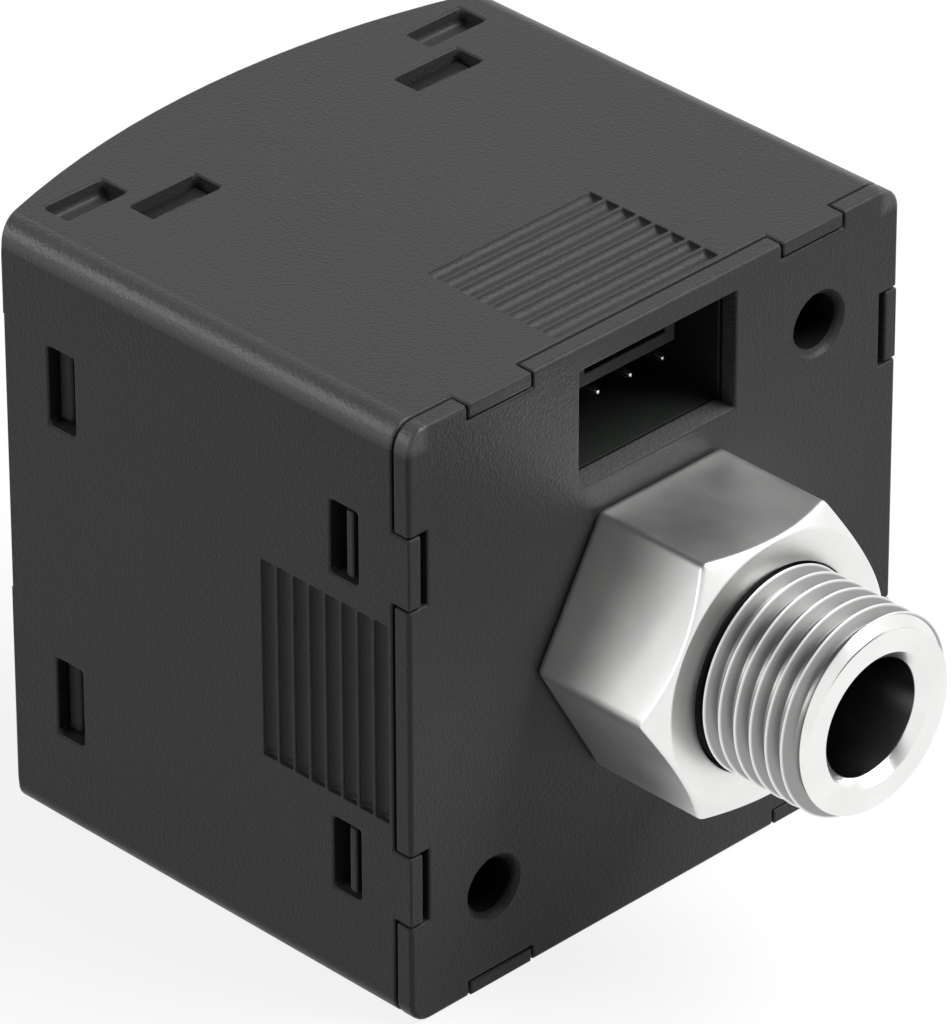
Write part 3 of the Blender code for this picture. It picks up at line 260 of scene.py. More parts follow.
class Finish:
    """A material under construction, with shortcuts for the textures that shape it."""

    def __init__(self, name, colour, roughness, metallic=0.0):
        self.material = bpy.data.materials.new(name)
        self.material.use_nodes = True
        self.nodes = self.material.node_tree.nodes
        self.links = self.material.node_tree.links
        self.shader = self.nodes["Principled BSDF"]
        self.colour = tuple(colour)
        self.shader.inputs["Base Color"].default_value = (*colour, 1.0)
        self.shader.inputs["Roughness"].default_value = roughness
        self.shader.inputs["Metallic"].default_value = metallic
        self.place = self.nodes.new("ShaderNodeTexCoord").outputs["Object"]

    def set(self, **values):
        """Constants on the shader's own sockets, such as specular_ior_level=0.3."""
        for key, value in values.items():
            found = [s for s in self.shader.inputs if s.name.lower().replace(" ", "_") == key]
            found[0].default_value = value
        return self

    def math(self, operation, first, second=0.0):
        node = self.nodes.new("ShaderNodeMath")
        node.operation = operation
        for socket, value in zip(node.inputs, (first, second)):
            if isinstance(value, bpy.types.NodeSocket):
                self.links.new(value, socket)
            else:
                socket.default_value = value
        return node.outputs[0]

    def every(self, first, *others):
        """The product of these: 1 where each of them is 1."""
        for other in others:
            first = self.math("MULTIPLY", first, other)
        return first

    def split(self, vector):
        node = self.nodes.new("ShaderNodeSeparateXYZ")
        self.links.new(vector, node.inputs[0])
        return node.outputs

    def stretched(self, factors):
        """The place, scaled along each axis."""
        node = self.nodes.new("ShaderNodeMapping")
        node.inputs["Scale"].default_value = factors
        self.links.new(self.place, node.inputs["Vector"])
        return node.outputs["Vector"]

    def from_port(self):
        """Distance from the middle plane, height above the port's axis, depth below the rear."""
        place = self.split(self.place)
        return (
            self.math("ABSOLUTE", place["X"]),
            self.math("SUBTRACT", place["Z"], AXIS_Z),
            self.math("SUBTRACT", REAR_Y, place["Y"]),
        )

    def turned_place(self):
        """(distance from the port's axis, Y) of a point, so that marks run round the axis."""
        place = self.split(self.place)
        height = self.math("SUBTRACT", place["Z"], AXIS_Z)
        square = self.math("ADD", self.math("MULTIPLY", place["X"], place["X"]),
                           self.math("MULTIPLY", height, height))
        joined = self.nodes.new("ShaderNodeCombineXYZ")
        self.links.new(self.math("SQRT", square), joined.inputs["X"])
        self.links.new(place["Y"], joined.inputs["Y"])
        return joined.outputs[0]

    def noise(self, size, detail=2.0, roughness=0.5, vector=None):
        """Noise whose blotches have this size in metres."""
        node = self.nodes.new("ShaderNodeTexNoise")
        node.inputs["Scale"].default_value = 1.0 / size
        node.inputs["Detail"].default_value = detail
        node.inputs["Roughness"].default_value = roughness
        self.links.new(vector or self.place, node.inputs["Vector"])
        return node.outputs["Fac"]

    def cells(self, size):
        node = self.nodes.new("ShaderNodeTexVoronoi")
        node.inputs["Scale"].default_value = 1.0 / size
        self.links.new(self.place, node.inputs["Vector"])
        return node.outputs["Distance"]

    def bands(self, size, axis="X", vector=None):
        """Stripes of this spacing across an axis."""
        node = self.nodes.new("ShaderNodeTexWave")
        node.bands_direction = axis
        node.inputs["Scale"].default_value = math.pi / 10.0 / size
        self.links.new(vector or self.place, node.inputs["Vector"])
        return node.outputs["Fac"]

    def spread(self, value, low, high, start=0.3, end=0.7):
        """Maps a texture's middle range onto low to high."""
        node = self.nodes.new("ShaderNodeMapRange")
        node.inputs["From Min"].default_value = start
        node.inputs["From Max"].default_value = end
        node.inputs["To Min"].default_value = low
        node.inputs["To Max"].default_value = high
        self.links.new(value, node.inputs["Value"])
        return node.outputs["Result"]

    def vary_roughness(self, value, low, high):
        self.links.new(self.spread(value, low, high), self.shader.inputs["Roughness"])
        return self

    def mix(self, factor, first, second):
        """Goes from one colour to another along a factor."""
        node = self.nodes.new("ShaderNodeMix")
        node.data_type = "RGBA"
        ends = [socket for socket in node.inputs if socket.type == "RGBA"]
        for socket, colour in zip(ends, (first, second)):
            if isinstance(colour, bpy.types.NodeSocket):
                self.links.new(colour, socket)
            else:
                socket.default_value = (*colour, 1.0)
        self.links.new(factor, node.inputs["Factor"])
        out = next(socket for socket in node.outputs if socket.type == "RGBA")
        self.links.new(out, self.shader.inputs["Base Color"])
        return out

    def vary_colour(self, value, low, high, start=0.3, end=0.7):
        """Colour between low and high along a texture. A number scales the base colour."""
        ends = [
            [min(1.0, part * shade) for part in self.colour] if isinstance(shade, float) else shade
            for shade in (low, high)
        ]
        return self.mix(self.spread(value, 0.0, 1.0, start, end), *ends)

    def bump(self, value, strength, height):
        """Raises the surface along a texture. Several bumps add up."""
        node = self.nodes.new("ShaderNodeBump")
        node.inputs["Strength"].default_value = strength
        node.inputs["Distance"].default_value = height
        self.links.new(value, node.inputs["Height"])
        earlier = self.shader.inputs["Normal"].links
        if earlier:
            self.links.new(earlier[0].from_socket, node.inputs["Normal"])
        self.links.new(node.outputs["Normal"], self.shader.inputs["Normal"])
        return self


def moulded_plastic(name, colour, roughness=0.37, relief=None):
    """Plastic with a leathery moulded grain, a slight cloudiness and a rubbed sheen. Relief is a
    function that gives how many times higher the grain's pebbles stand at a place."""
    made = Finish(name, colour, roughness).set(specular_ior_level=PLAIN_LEVEL)
    size = sizes().grain
    pebbles = made.cells(size)
    if relief:
        pebbles = made.math("MULTIPLY", pebbles, relief(made))
    wrinkles = made.noise(size * 0.7, detail=3.0, roughness=0.6)
    cloud = made.noise(4.0 * MM, detail=3.0)
    made.vary_colour(made.math("ADD", made.math("MULTIPLY", wrinkles, 0.6),
                               made.math("MULTIPLY", cloud, 0.4)), 0.90, 1.10)
    made.vary_roughness(cloud, roughness - 0.04, roughness + 0.05)
    made.bump(pebbles, 0.7, 0.018 * MM).bump(wrinkles, 0.7, 0.026 * MM)
    return made


def in_mouth(made):
    """1 on the walls of the plug socket's opening in the rear cover, and 0 elsewhere."""
    across, above, depth = made.from_port()
    return made.every(
        made.math("LESS_THAN", across, MOUTH_HALF_WIDTH + NEARBY),
        made.math("GREATER_THAN", above, MOUTH_SILL - NEARBY),
        made.math("LESS_THAN", above, MOUTH_LINTEL + NEARBY),
        made.math("GREATER_THAN", depth, 4 * NEARBY),
    )


def mouth_relief(made):
    """How many times higher the pebbles stand in the plug socket's opening."""
    return made.math("ADD", 1.0, made.math("MULTIPLY", in_mouth(made), MOUTH_RELIEF))


def body_plastic(name, colour):
    """The moulded plastic, shinier on the upper long roundings, coarser in the plug socket's
    opening, with painted light that makes the opening paler and painted shade inside the screw
    holes."""
    made = moulded_plastic(name, colour, relief=mouth_relief)
    shade = made.shader.inputs["Base Color"].links[0].from_socket
    across, above, depth = made.from_port()

    side = COVER_HIGH.x
    near = made.math("MINIMUM", across, above)
    shine = made.spread(near, PLAIN_LEVEL, SHINE_LEVEL, side - SHINE_START, side - SHINE_FULL)
    made.links.new(shine, made.shader.inputs["Specular IOR Level"])

    # painted light: the walls of the plug socket's opening are painted paler
    shade = made.mix(in_mouth(made), shade, [part * MOUTH_PAINTED_LIGHT for part in colour])

    # painted shade: the walls inside the screw holes are painted dark below their chamfer
    squares = [
        made.math("POWER", made.math("SUBTRACT", along, SCREW_AWAY), 2.0)
        for along in (across, made.math("ABSOLUTE", above))
    ]
    away = made.math("SQRT", made.math("ADD", *squares))
    shaft = made.every(
        made.math("LESS_THAN", away, SCREW_RADIUS + 1.5 * NEARBY),
        made.math("GREATER_THAN", depth, SCREW_CHAMFER - NEARBY),
    )
    made.mix(shaft, shade, [part * SHAFT_PAINTED_SHADE for part in colour])
    return made


def plated(name):
    """Satin plating over turning marks that run round the axis: the finish, its place round that
    axis and its shade."""
    made = Finish(name, colours().plating, 0.23, metallic=1.0)
    turned = made.turned_place()
    marks = made.noise(0.05 * MM, detail=2.0, vector=turned)
    waves = made.noise(0.35 * MM, detail=1.0, vector=turned)
    stain = made.noise(2.5 * MM, detail=4.0)
    shade = made.vary_colour(stain, 0.96, 1.03)
    made.vary_roughness(made.math("ADD", made.math("MULTIPLY", marks, 0.5),
                                  made.math("MULTIPLY", stain, 0.5)), 0.20, 0.27)
    made.bump(marks, 0.25, 0.0015 * MM).bump(waves, 0.20, 0.003 * MM)
    return made, turned, shade


def nickel_plating(name):
    return plated(name)[0].material


def port_plating(name):
    """Nickel plating, with painted shade that darkens the thread's valleys and the inside of the
    bore.
    """
    made, turned, shade = plated(name)
    place = made.split(turned)
    radius = place["X"]
    crest = THREAD_RADIUS - NEARBY
    depth = made.spread(radius, 1.0, 0.0, crest - VALLEY_RAMP, crest)
    threaded = made.every(
        made.math("GREATER_THAN", radius, THREAD_INSIDE),
        made.math("LESS_THAN", place["Y"], THREAD_END),
    )
    # painted shade: the thread is painted darker below its crests, down into the valleys
    valley_painted_shade = [part * VALLEY_PAINTED_SHADE for part in made.colour]
    shade = made.mix(made.every(depth, threaded), shade, valley_painted_shade)
    polish = made.shader.inputs["Roughness"].links[0].from_socket
    rougher = made.math("ADD", polish, made.math("MULTIPLY", threaded, THREAD_ROUGHER))
    made.links.new(rougher, made.shader.inputs["Roughness"])
    # painted shade: the inside of the bore is painted dark
    bored = made.math("LESS_THAN", radius, BORE_RADIUS + NEARBY)
    made.mix(bored, shade, BORE_PAINTED_SHADE)
    return made.material


def soft_rubber(name):
    made = Finish(name, colours().rubber, 0.7).set(specular_ior_level=0.2)
    dust = made.noise(0.6 * MM, detail=5.0, roughness=0.65)
    made.vary_colour(dust, 0.8, 1.5)
    made.vary_roughness(dust, 0.62, 0.80)
    made.bump(made.noise(0.06 * MM, detail=3.0), 0.30, 0.008 * MM)
    return made.material


def tin_plating(name):
    made = Finish(name, colours().contacts, 0.25, metallic=1.0)
    drawn = made.noise(0.04 * MM, detail=2.0, vector=made.stretched((1.0, 0.06, 1.0)))
    made.vary_colour(made.noise(0.8 * MM, detail=3.0), 0.9, 1.06)
    made.vary_roughness(drawn, 0.18, 0.34)
    made.bump(drawn, 0.2, 0.002 * MM)
    return made.material


def spring_steel(name):
    made = Finish(name, (0.46, 0.46, 0.47), 0.3, metallic=1.0)
    rolled = made.noise(0.05 * MM, detail=2.0, vector=made.turned_place())
    made.vary_colour(made.noise(1.5 * MM, detail=4.0), 0.85, 1.08)
    made.vary_roughness(rolled, 0.22, 0.42)
    made.bump(rolled, 0.25, 0.003 * MM)
    return made.material


def fired_ceramic(name):
    made = Finish(name, (0.80, 0.78, 0.72), 0.5)
    made.vary_colour(made.noise(0.12 * MM, detail=4.0, roughness=0.7), 0.92, 1.04)
    made.vary_roughness(made.noise(0.5 * MM, detail=3.0), 0.40, 0.60)
    made.bump(made.cells(0.05 * MM), 0.2, 0.004 * MM)
    return made.material


def flexible_circuit(name):
    """Amber film with copper tracks that run along it."""
    made = Finish(name, (0.55, 0.25, 0.04), 0.35)
    tracks = made.bands(0.5 * MM)
    made.vary_colour(tracks, (0.42, 0.17, 0.025), (0.62, 0.30, 0.06), 0.45, 0.55)
    made.vary_roughness(made.noise(0.7 * MM, detail=3.0), 0.28, 0.42)
    made.bump(tracks, 0.5, 0.02 * MM)
    return made.material


def solder_resist(name):
    """Green resist over copper tracks, with plated dots."""
    made = Finish(name, (0.02, 0.14, 0.05), 0.4)
    tracks = made.bands(0.9 * MM, vector=made.stretched((1.0, 0.35, 0.35)))
    woven = made.math("MULTIPLY", made.bands(0.25 * MM, "X"), made.bands(0.25 * MM, "Y"))
    made.vary_colour(tracks, (0.014, 0.105, 0.038), (0.030, 0.185, 0.065), 0.42, 0.58)
    made.vary_roughness(made.noise(1.0 * MM, detail=3.0), 0.30, 0.46)
    made.bump(woven, 0.2, 0.01 * MM).bump(tracks, 0.4, 0.03 * MM)
    return made.material


def chip_epoxy(name):
    made = Finish(name, (0.014, 0.014, 0.015), 0.5)
    made.vary_colour(made.cells(0.05 * MM), 0.7, 1.9, 0.2, 0.8)
    made.vary_roughness(made.noise(0.3 * MM, detail=3.0), 0.42, 0.60)
    made.bump(made.noise(0.04 * MM, detail=2.0), 0.3, 0.006 * MM)
    return made.material


def smoked_pane(name):
    """Polished dark pane with the faintest haze."""
    made = Finish(name, (0.016, 0.017, 0.020), 0.07).set(coat_weight=0.6, coat_roughness=0.03)
    haze = made.noise(3.0 * MM, detail=5.0, roughness=0.6)
    made.vary_colour(haze, 0.9, 1.15)
    made.vary_roughness(haze, 0.05, 0.11)
    made.bump(made.noise(6.0 * MM, detail=1.0), 0.05, 0.01 * MM)
    return made.material


def display_glass(name):
    made = Finish(name, (0.12, 0.13, 0.12), 0.1).set(coat_weight=0.5)
    made.vary_colour(made.noise(2.0 * MM, detail=3.0), 0.93, 1.05)
    made.vary_roughness(made.noise(1.0 * MM, detail=4.0), 0.07, 0.14)
    made.bump(made.noise(0.08 * MM), 0.05, 0.002 * MM)
    return made.material


def milky_plastic(name):
    made = Finish(name, (0.75, 0.75, 0.72), 0.4)
    made.vary_colour(made.noise(1.5 * MM, detail=3.0), 0.95, 1.04)
    made.vary_roughness(made.noise(0.5 * MM, detail=3.0), 0.32, 0.48)
    made.bump(made.noise(0.1 * MM, detail=2.0), 0.15, 0.005 * MM)
    return made.material


def layered_rubber(name):
    """Dark and pale layers of a conductive strip."""
    made = Finish(name, (0.20, 0.20, 0.22), 0.7)
    layers = made.bands(0.10 * MM)
    made.vary_colour(layers, (0.03, 0.03, 0.03), (0.42, 0.42, 0.44), 0.4, 0.6)
    made.vary_roughness(made.noise(0.2 * MM), 0.6, 0.8)
    made.bump(layers, 0.2, 0.005 * MM)
    return made.material


def new_piece(name, bm, material, body=BODY):
    """Links a finished mesh, shades it and lets it ride on its body."""
    mesh = bpy.data.meshes.new(name)
    bm.to_mesh(mesh)
    bm.free()
    mesh.shade_smooth()
    mesh.set_sharp_from_angle(angle=SMOOTH_ANGLE)
    mesh.materials.append(material)
    obj = bpy.data.objects.new(name, mesh)
    bpy.context.scene.collection.objects.link(obj)
    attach(obj, body)
    return obj


def level_faces(obj):
    """Lets the large faces set the shading, so that they look flat up to their roundings."""
    even = obj.modifiers.new("even_shading", "WEIGHTED_NORMAL")
    even.mode = "FACE_AREA"
    even.weight = 50
    even.keep_sharp = True


def merged_copy(node):
    """A closed copy of a solid's triangles, joined into whole flat faces."""
    bm = bmesh.new()
    bm.from_mesh(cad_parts[node].data)
    bmesh.ops.remove_doubles(bm, verts=bm.verts, dist=POINT_SIZE)
    bmesh.ops.dissolve_limit(
        bm, angle_limit=FLAT_ANGLE, use_dissolve_boundaries=False, verts=bm.verts,
        edges=bm.edges, delimit=set(),
    )
    return bm


def window_corner(edge):
    """Whether an edge is a corner of a window or pocket, in front of the tabs' notches."""
    first, second = (vert.co for vert in edge.verts)
    if edge.is_convex or max(first.y, second.y) > REAR_Y - NOTCH_REACH:
        return False
    way = (second - first).normalized()
    outer = max(abs(first.x), abs(first.z - AXIS_Z)) > WINDOW_DEPTH
    return outer and max(abs(way.x), abs(way.z)) > 0.99


def around_hole(edge):
    """Whether an edge belongs to the mouth of a round screw hole in the rear face."""
    first, second = (vert.co for vert in edge.verts)
    middle = (first + second) / 2
    away = Vector((abs(middle.x) - SCREW_AWAY, abs(middle.z - AXIS_Z) - SCREW_AWAY))
    return away.length < SCREW_MOUTH and middle.y > REAR_Y - 1.0 * MM


def room_beside(edge):
    """Length of the shortest edge that meets this one."""
    return min(
        other.calc_length() for vert in edge.verts for other in vert.link_edges if other != edge
    )


def rounded_copy(node, name, material, width, body=BODY, corners=0.0):
    """A copy of a solid with its sharp edges rounded, shown in its place."""
    bm = merged_copy(node)
    weight = bm.edges.layers.float.new("bevel_weight_edge")
    widest = max(width, corners)
    for edge in bm.edges:
        if len(edge.link_faces) != 2 or edge.calc_face_angle(0.0) < SHARP_ANGLE:
            continue
        if around_hole(edge):
            edge.smooth = False
            continue
        wanted = corners if corners and window_corner(edge) else width
        edge[weight] = min(wanted, ROUNDED_SHARE * room_beside(edge)) / widest
    obj = new_piece(name, bm, material, body)
    rounding = obj.modifiers.new("rounding", "BEVEL")
    rounding.limit_method = "WEIGHT"
    rounding.width = widest
    rounding.segments = 3
    rounding.profile = 0.5
    rounding.use_clamp_overlap = False
    level_faces(obj)
    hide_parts(node)
    return obj


def slim_tip(pin):
    """Draws a contact pin in towards its tip, about the axis of its straight end."""
    places = [vert.co.copy() for vert in pin.data.vertices]
    tip = max(co.y for co in places)
    centre = Vector((
        sum(co.x for co in places) / len(places), 0.0, max(co.z for co in places) - PIN_SIZE / 2,
    ))
    for vert in pin.data.vertices:
        if vert.co.y > tip - PIN_END:
            vert.co.x = centre.x + (vert.co.x - centre.x) * PIN_END_SHARE
            vert.co.z = centre.z + (vert.co.z - centre.z) * PIN_END_SHARE


class SENSOR_OT_moulded_body(bpy.types.Operator):
    """Rounds the housing and the two covers and gives them their moulded grain"""

    bl_idname = "sensor.moulded_body"
    bl_label = "Moulded body"

    def execute(self, context):
        width = sizes().edge_round
        plastic = body_plastic("body_plastic", colours().plastic).material
        corners = sizes().corner_round
        rounded_copy("housing", "housing_sleeve", plastic, width, corners=corners)
        rounded_copy("rear_cover", "rear_cover_plate", plastic, width)
        black = moulded_plastic("front_plastic", colours().black).material
        rounded_copy("front_cover", "front_cover_cap", black, width)
        return {"FINISHED"}


class SENSOR_OT_socket(bpy.types.Operator):
    """Rounds the socket's header and its four contact pins"""

    bl_idname = "sensor.socket"
    bl_label = "Electrical socket"

    def execute(self, context):
        width = sizes().fine_round
        black = moulded_plastic("socket_plastic", colours().header, 0.5).material
        tin = tin_plating("contact_tin")
        rounded_copy("socket_header", "socket_header_shell", black, width)
        for number in range(1, 5):
            pin = rounded_copy(
                f"socket_pin_{number}", f"contact_pin_{number}", tin, width
            )
            slim_tip(pin)
        return {"FINISHED"}


class SENSOR_OT_front(bpy.types.Operator):
    """Rounds the display window and the three keys"""

    bl_idname = "sensor.front"
    bl_label = "Window and keys"

    def execute(self, context):
        width = sizes().edge_round
        pane = smoked_pane("window_pane")
        rubber = soft_rubber("key_rubber")
        rounded_copy("display_window", "window_pane", pane, width / 2)
        for key in ("key_left", "key_centre", "key_right"):
            rounded_copy(key, f"{key}_cap", rubber, width, f"{key}_body")
        return {"FINISHED"}


def soft_min(first, second, softness):
    """The smaller of two lengths, with a rounded change from one to the other."""
    share = max(0.0, softness - abs(first - second)) / softness
    return min(first, second) - share * share * softness / 4


def hexagon_radius(turn, softness):
    """Distance from the axis to a hexagon with softened corners on +X and -X."""
    step = math.pi / 3
    offset = abs(turn % step - step / 2)  # from the nearest flat's middle
    near = HEX_HALF_FLATS / math.cos(offset)
    other = HEX_HALF_FLATS / math.cos(step - offset)
    return soft_min(near, other, softness)


def fitting_profile():
    """(radius, Y) from the bore's mouth, through the inside, and round to the thread's foot."""
    corner = HEX_CORNER_RADIUS
    inside = [
        (BORE_MOUTH, PORT_REACH),
        (BORE_RADIUS + 0.05 * MM, PORT_REACH - (BORE_MOUTH - BORE_RADIUS) + 0.05 * MM),
        (BORE_RADIUS, PORT_REACH - (BORE_MOUTH - BORE_RADIUS) - 0.04 * MM),
        (BORE_RADIUS, BORE_END + 0.3 * MM), (BORE_RADIUS - 0.1 * MM, BORE_END),
        (ORIFICE_RADIUS, BORE_END), (ORIFICE_RADIUS, CELL_POCKET_Y),
        (CELL_POCKET_RADIUS, CELL_POCKET_Y), (CELL_POCKET_RADIUS, PORT_BASE),
        (SHANK_RADIUS - 0.1 * MM, PORT_BASE), (SHANK_RADIUS, PORT_BASE + 0.1 * MM),
        (SHANK_RADIUS, GROOVE_Y[1]), (GROOVE_RADIUS, GROOVE_Y[1]), (GROOVE_RADIUS, GROOVE_Y[0]),
        (SHANK_RADIUS, GROOVE_Y[0]), (SHANK_RADIUS, 0.06 * MM),
    ]
    foot = [(corner - FOOT_ROUND - 0.10 * MM, FOOT_START)] + [
        (corner - FOOT_ROUND * (1 - math.sin(turn)), FOOT_START + FOOT_ROUND * (1 - math.cos(turn)))
        for turn in (math.pi / 8, math.pi / 4, 3 * math.pi / 8, math.pi / 2)
    ]
    flank = [(corner, along * MM) for along in (0.45, 1.5, 3.0, 4.5, 5.6)]
    count = 26
    step = (HEX_LENGTH - 0.02 * MM - HEX_CHAMFER_START) / count
    chamfer = [(corner, HEX_CHAMFER_START + step * index) for index in range(count + 1)]
    face = [
        (HEX_FACE_RADIUS - 0.03 * MM, HEX_LENGTH),
        (HEX_FACE_RADIUS - 0.10 * MM, HEX_LENGTH),
        (RECESS_RADIUS + 0.07 * MM, HEX_LENGTH),
        (RECESS_RADIUS + 0.02 * MM, HEX_LENGTH - 0.02 * MM),
        (RECESS_RADIUS, HEX_LENGTH - 0.07 * MM), (RECESS_RADIUS, RECESS_FLOOR),
        (RELIEF_RADIUS, RECESS_FLOOR), (RELIEF_RADIUS, RELIEF_TOP),
    ]
    return inside, foot + flank + chamfer, face


def draw_in(radius, along, turn, softness):
    """Radius of the hexagon's flank: its flats and the foot's curve, cut by the chamfer's cone."""
    flats = hexagon_radius(turn, softness) - (HEX_CORNER_RADIUS - radius)
    cone = HEX_FACE_RADIUS + (HEX_LENGTH - along) / HEX_CHAMFER_SLOPE
    return soft_min(flats, cone, softness)


def spun(bm, points, steps):
    """Turns a profile of (radius, Y) once round the port's axis."""
    verts = [bm.verts.new((radius, REAR_Y + along, AXIS_Z)) for radius, along in points]
    edges = [bm.edges.new(pair) for pair in zip(verts, verts[1:])]
    bmesh.ops.spin(
        bm, geom=verts + edges, cent=(0.0, 0.0, AXIS_Z), axis=(0.0, 1.0, 0.0),
        angle=2 * math.pi, steps=steps, use_merge=True,
    )


def around(co):
    """(radius, Y from the rear face, turn about the axis) of a point."""
    height = co.z - AXIS_Z
    return math.hypot(co.x, height), co.y - REAR_Y, math.atan2(height, co.x)


def thread_form(pitch):
    """(radius, Y) over one pitch, from root to root, with a fine crest and a flat root."""
    crest = THREAD_RADIUS - CREST_ROUND
    root = THREAD_RADIUS - THREAD_DEPTH + ROOT_ROUND
    tangent = math.pi / 2 - THREAD_HALF_ANGLE
    rise = crest - root + (CREST_ROUND + ROOT_ROUND) * math.cos(tangent)
    reach = (CREST_ROUND + ROOT_ROUND) * math.sin(tangent) + rise * math.tan(THREAD_HALF_ANGLE)
    turns = [tangent * part / 2 for part in (0, 1, 2)]
    half = [(THREAD_RADIUS - THREAD_DEPTH, pitch / 2)]
    half += [(root - ROOT_ROUND * math.cos(t), reach - ROOT_ROUND * math.sin(t)) for t in turns]
    half += [(crest + CREST_ROUND * math.cos(t), CREST_ROUND * math.sin(t)) for t in turns[::-1]]
    return [(radius, -along) for radius, along in half] + half[-2::-1]


def add_thread(bm, pitch):
    """Winds the thread between the relief and the tip, and closes both ends to their circles."""
    start = FIRST_CREST - 2 * pitch
    shell = bmesh.new()
    verts = [
        shell.verts.new((radius, REAR_Y + start + along, AXIS_Z))
        for radius, along in thread_form(pitch)
    ]
    edges = [shell.edges.new(pair) for pair in zip(verts, verts[1:])]
    bmesh.ops.spin(
        shell, geom=verts + edges, cent=(0.0, 0.0, AXIS_Z), axis=(0.0, 1.0, 0.0),
        dvec=(0.0, pitch / THREAD_STEPS, 0.0), angle=2 * math.pi * THREAD_TURNS,
        steps=THREAD_STEPS * THREAD_TURNS,
    )
    bmesh.ops.remove_doubles(shell, verts=shell.verts, dist=0.003 * MM)
    for along, side in ((RELIEF_TOP, -1), (PORT_REACH, 1)):
        bmesh.ops.bisect_plane(
            shell, geom=[*shell.verts, *shell.edges, *shell.faces], dist=1e-7,
            plane_co=(0.0, REAR_Y + along, 0.0), plane_no=(0.0, side, 0.0), clear_outer=True,
        )
    for vert in shell.verts:  # the chamfers at the tip and at the foot
        radius, along, turn = around(vert.co)
        most = min(
            TIP_RADIUS + (PORT_REACH - along),
            RELIEF_RADIUS + RUNOUT_STEP + RUNOUT_SLOPE * max(0.0, along - RELIEF_TOP),
        )
        if radius > most:
            vert.co.x = most * math.cos(turn)
            vert.co.z = AXIS_Z + most * math.sin(turn)
    mesh = bpy.data.meshes.new("thread_shell")
    shell.to_mesh(mesh)
    shell.free()
    bm.from_mesh(mesh)
    bpy.data.meshes.remove(mesh)


def close_ring(bm, along):
    """Fills the flat ring between the two open rims at one height."""
    rim = [
        edge for edge in bm.edges
        if edge.is_boundary and all(abs(v.co.y - REAR_Y - along) < 1e-6 for v in edge.verts)
    ]
    bmesh.ops.triangle_fill(bm, use_beauty=True, use_dissolve=False, edges=rim)


class SENSOR_OT_fitting(bpy.types.Operator):
    """Turns the port fitting: softened hexagon, recess, wound thread, countersunk bore and shank"""

    bl_idname = "sensor.fitting"
    bl_label = "Port fitting"

    def execute(self, context):
        softness = sizes().hexagon_round
        inside, flank, face = fitting_profile()
        bm = bmesh.new()
        spun(bm, inside + flank + face, 360)
        first = flank[0][1] - 1e-7
        for vert in bm.verts:
            radius, along, turn = around(vert.co)
            if first < along < HEX_LENGTH - 0.01 * MM and radius > HEX_FACE_RADIUS:
                radius = draw_in(radius, along, turn, softness)
                vert.co.x = radius * math.cos(turn)
                vert.co.z = AXIS_Z + radius * math.sin(turn)
        add_thread(bm, sizes().thread_pitch)
        close_ring(bm, RELIEF_TOP)
        close_ring(bm, PORT_REACH)
        bmesh.ops.remove_doubles(bm, verts=bm.verts, dist=0.001 * MM)
        bmesh.ops.recalc_face_normals(bm, faces=bm.faces)
        material = port_plating("fitting_nickel")
        obj = new_piece("port_fitting_turned", bm, material)
        level_faces(obj)
        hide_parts("port_fitting")
        return {"FINISHED"}


class SENSOR_OT_seal_ring(bpy.types.Operator):
    """Spins the round seal ring in the recess at the thread's foot"""

    bl_idname = "sensor.seal_ring"
    bl_label = "Seal ring"

    def execute(self, context):
        low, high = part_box("port_seal_ring")
        section = (high.y - low.y) / 2
        centre = high.x - section
        bm = bmesh.new()
        made = bmesh.ops.create_circle(
            bm, cap_ends=False, segments=20, radius=section,
            matrix=Matrix.Translation((centre, (low.y + high.y) / 2, AXIS_Z)),
        )
        bmesh.ops.spin(
            bm, geom=made["verts"] + bm.edges[:], cent=(0.0, 0.0, AXIS_Z), axis=(0.0, 1.0, 0.0),
            angle=2 * math.pi, steps=96, use_merge=True,
        )
        bmesh.ops.recalc_face_normals(bm, faces=bm.faces)
        rubber = soft_rubber("seal_rubber")
        obj = new_piece("seal_ring_round", bm, rubber)
        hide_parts("port_seal_ring")
        return {"FINISHED"}


class SENSOR_OT_inner_parts(bpy.types.Operator):
    """Gives the boards, the cell and the other inner parts their finishes"""

    bl_idname = "sensor.inner_parts"
    bl_label = "Inner parts"

    def execute(self, context):
        resist = solder_resist("board_resist")
        epoxy = chip_epoxy("chip_epoxy")
        black = moulded_plastic("connector_plastic", colours().black).material
        looks = {
            "retaining_ring": spring_steel("ring_steel"),
            "cell_seal": soft_rubber("cell_seal_rubber"),
            "sensing_cell": fired_ceramic("cell_ceramic"),
            "cell_retainer": nickel_plating("retainer_nickel"),
            "cell_ribbon": flexible_circuit("ribbon_film"),
            "main_board": resist,
            "display_board": resist,
            "amplifier_chip": epoxy,
            "processor_chip": epoxy,
            "board_connector": black,
            "display_panel": display_glass("panel_glass"),
            "light_guide": milky_plastic("light_guide_plastic"),
            "contact_strip": layered_rubber("strip_rubber"),
            "key_switch_left": black,
            "key_switch_centre": black,
            "key_switch_right": black,
        }
        for node, material in looks.items():
            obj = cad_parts[node]
            if not obj.material_slots:
                raise RuntimeError(f"{node} has no material slot")
            for slot in obj.material_slots:
                slot.material = material
        return {"FINISHED"}


def area_light(name, direction, distance, size, level, aim):
    """A square soft light whose level is what it adds to a surface that faces it."""
    light = bpy.data.lights.new(name, "AREA")
    light.shape = "SQUARE"
    light.size = size
    light.energy = level * math.pi ** 2 * distance ** 2
    obj = bpy.data.objects.new(name, light)
    direction = Vector(direction).normalized()
    obj.location = aim + direction * distance
    obj.rotation_mode = "QUATERNION"
    obj.rotation_quaternion = direction.to_track_quat("Z", "Y")
    bpy.context.scene.collection.objects.link(obj)


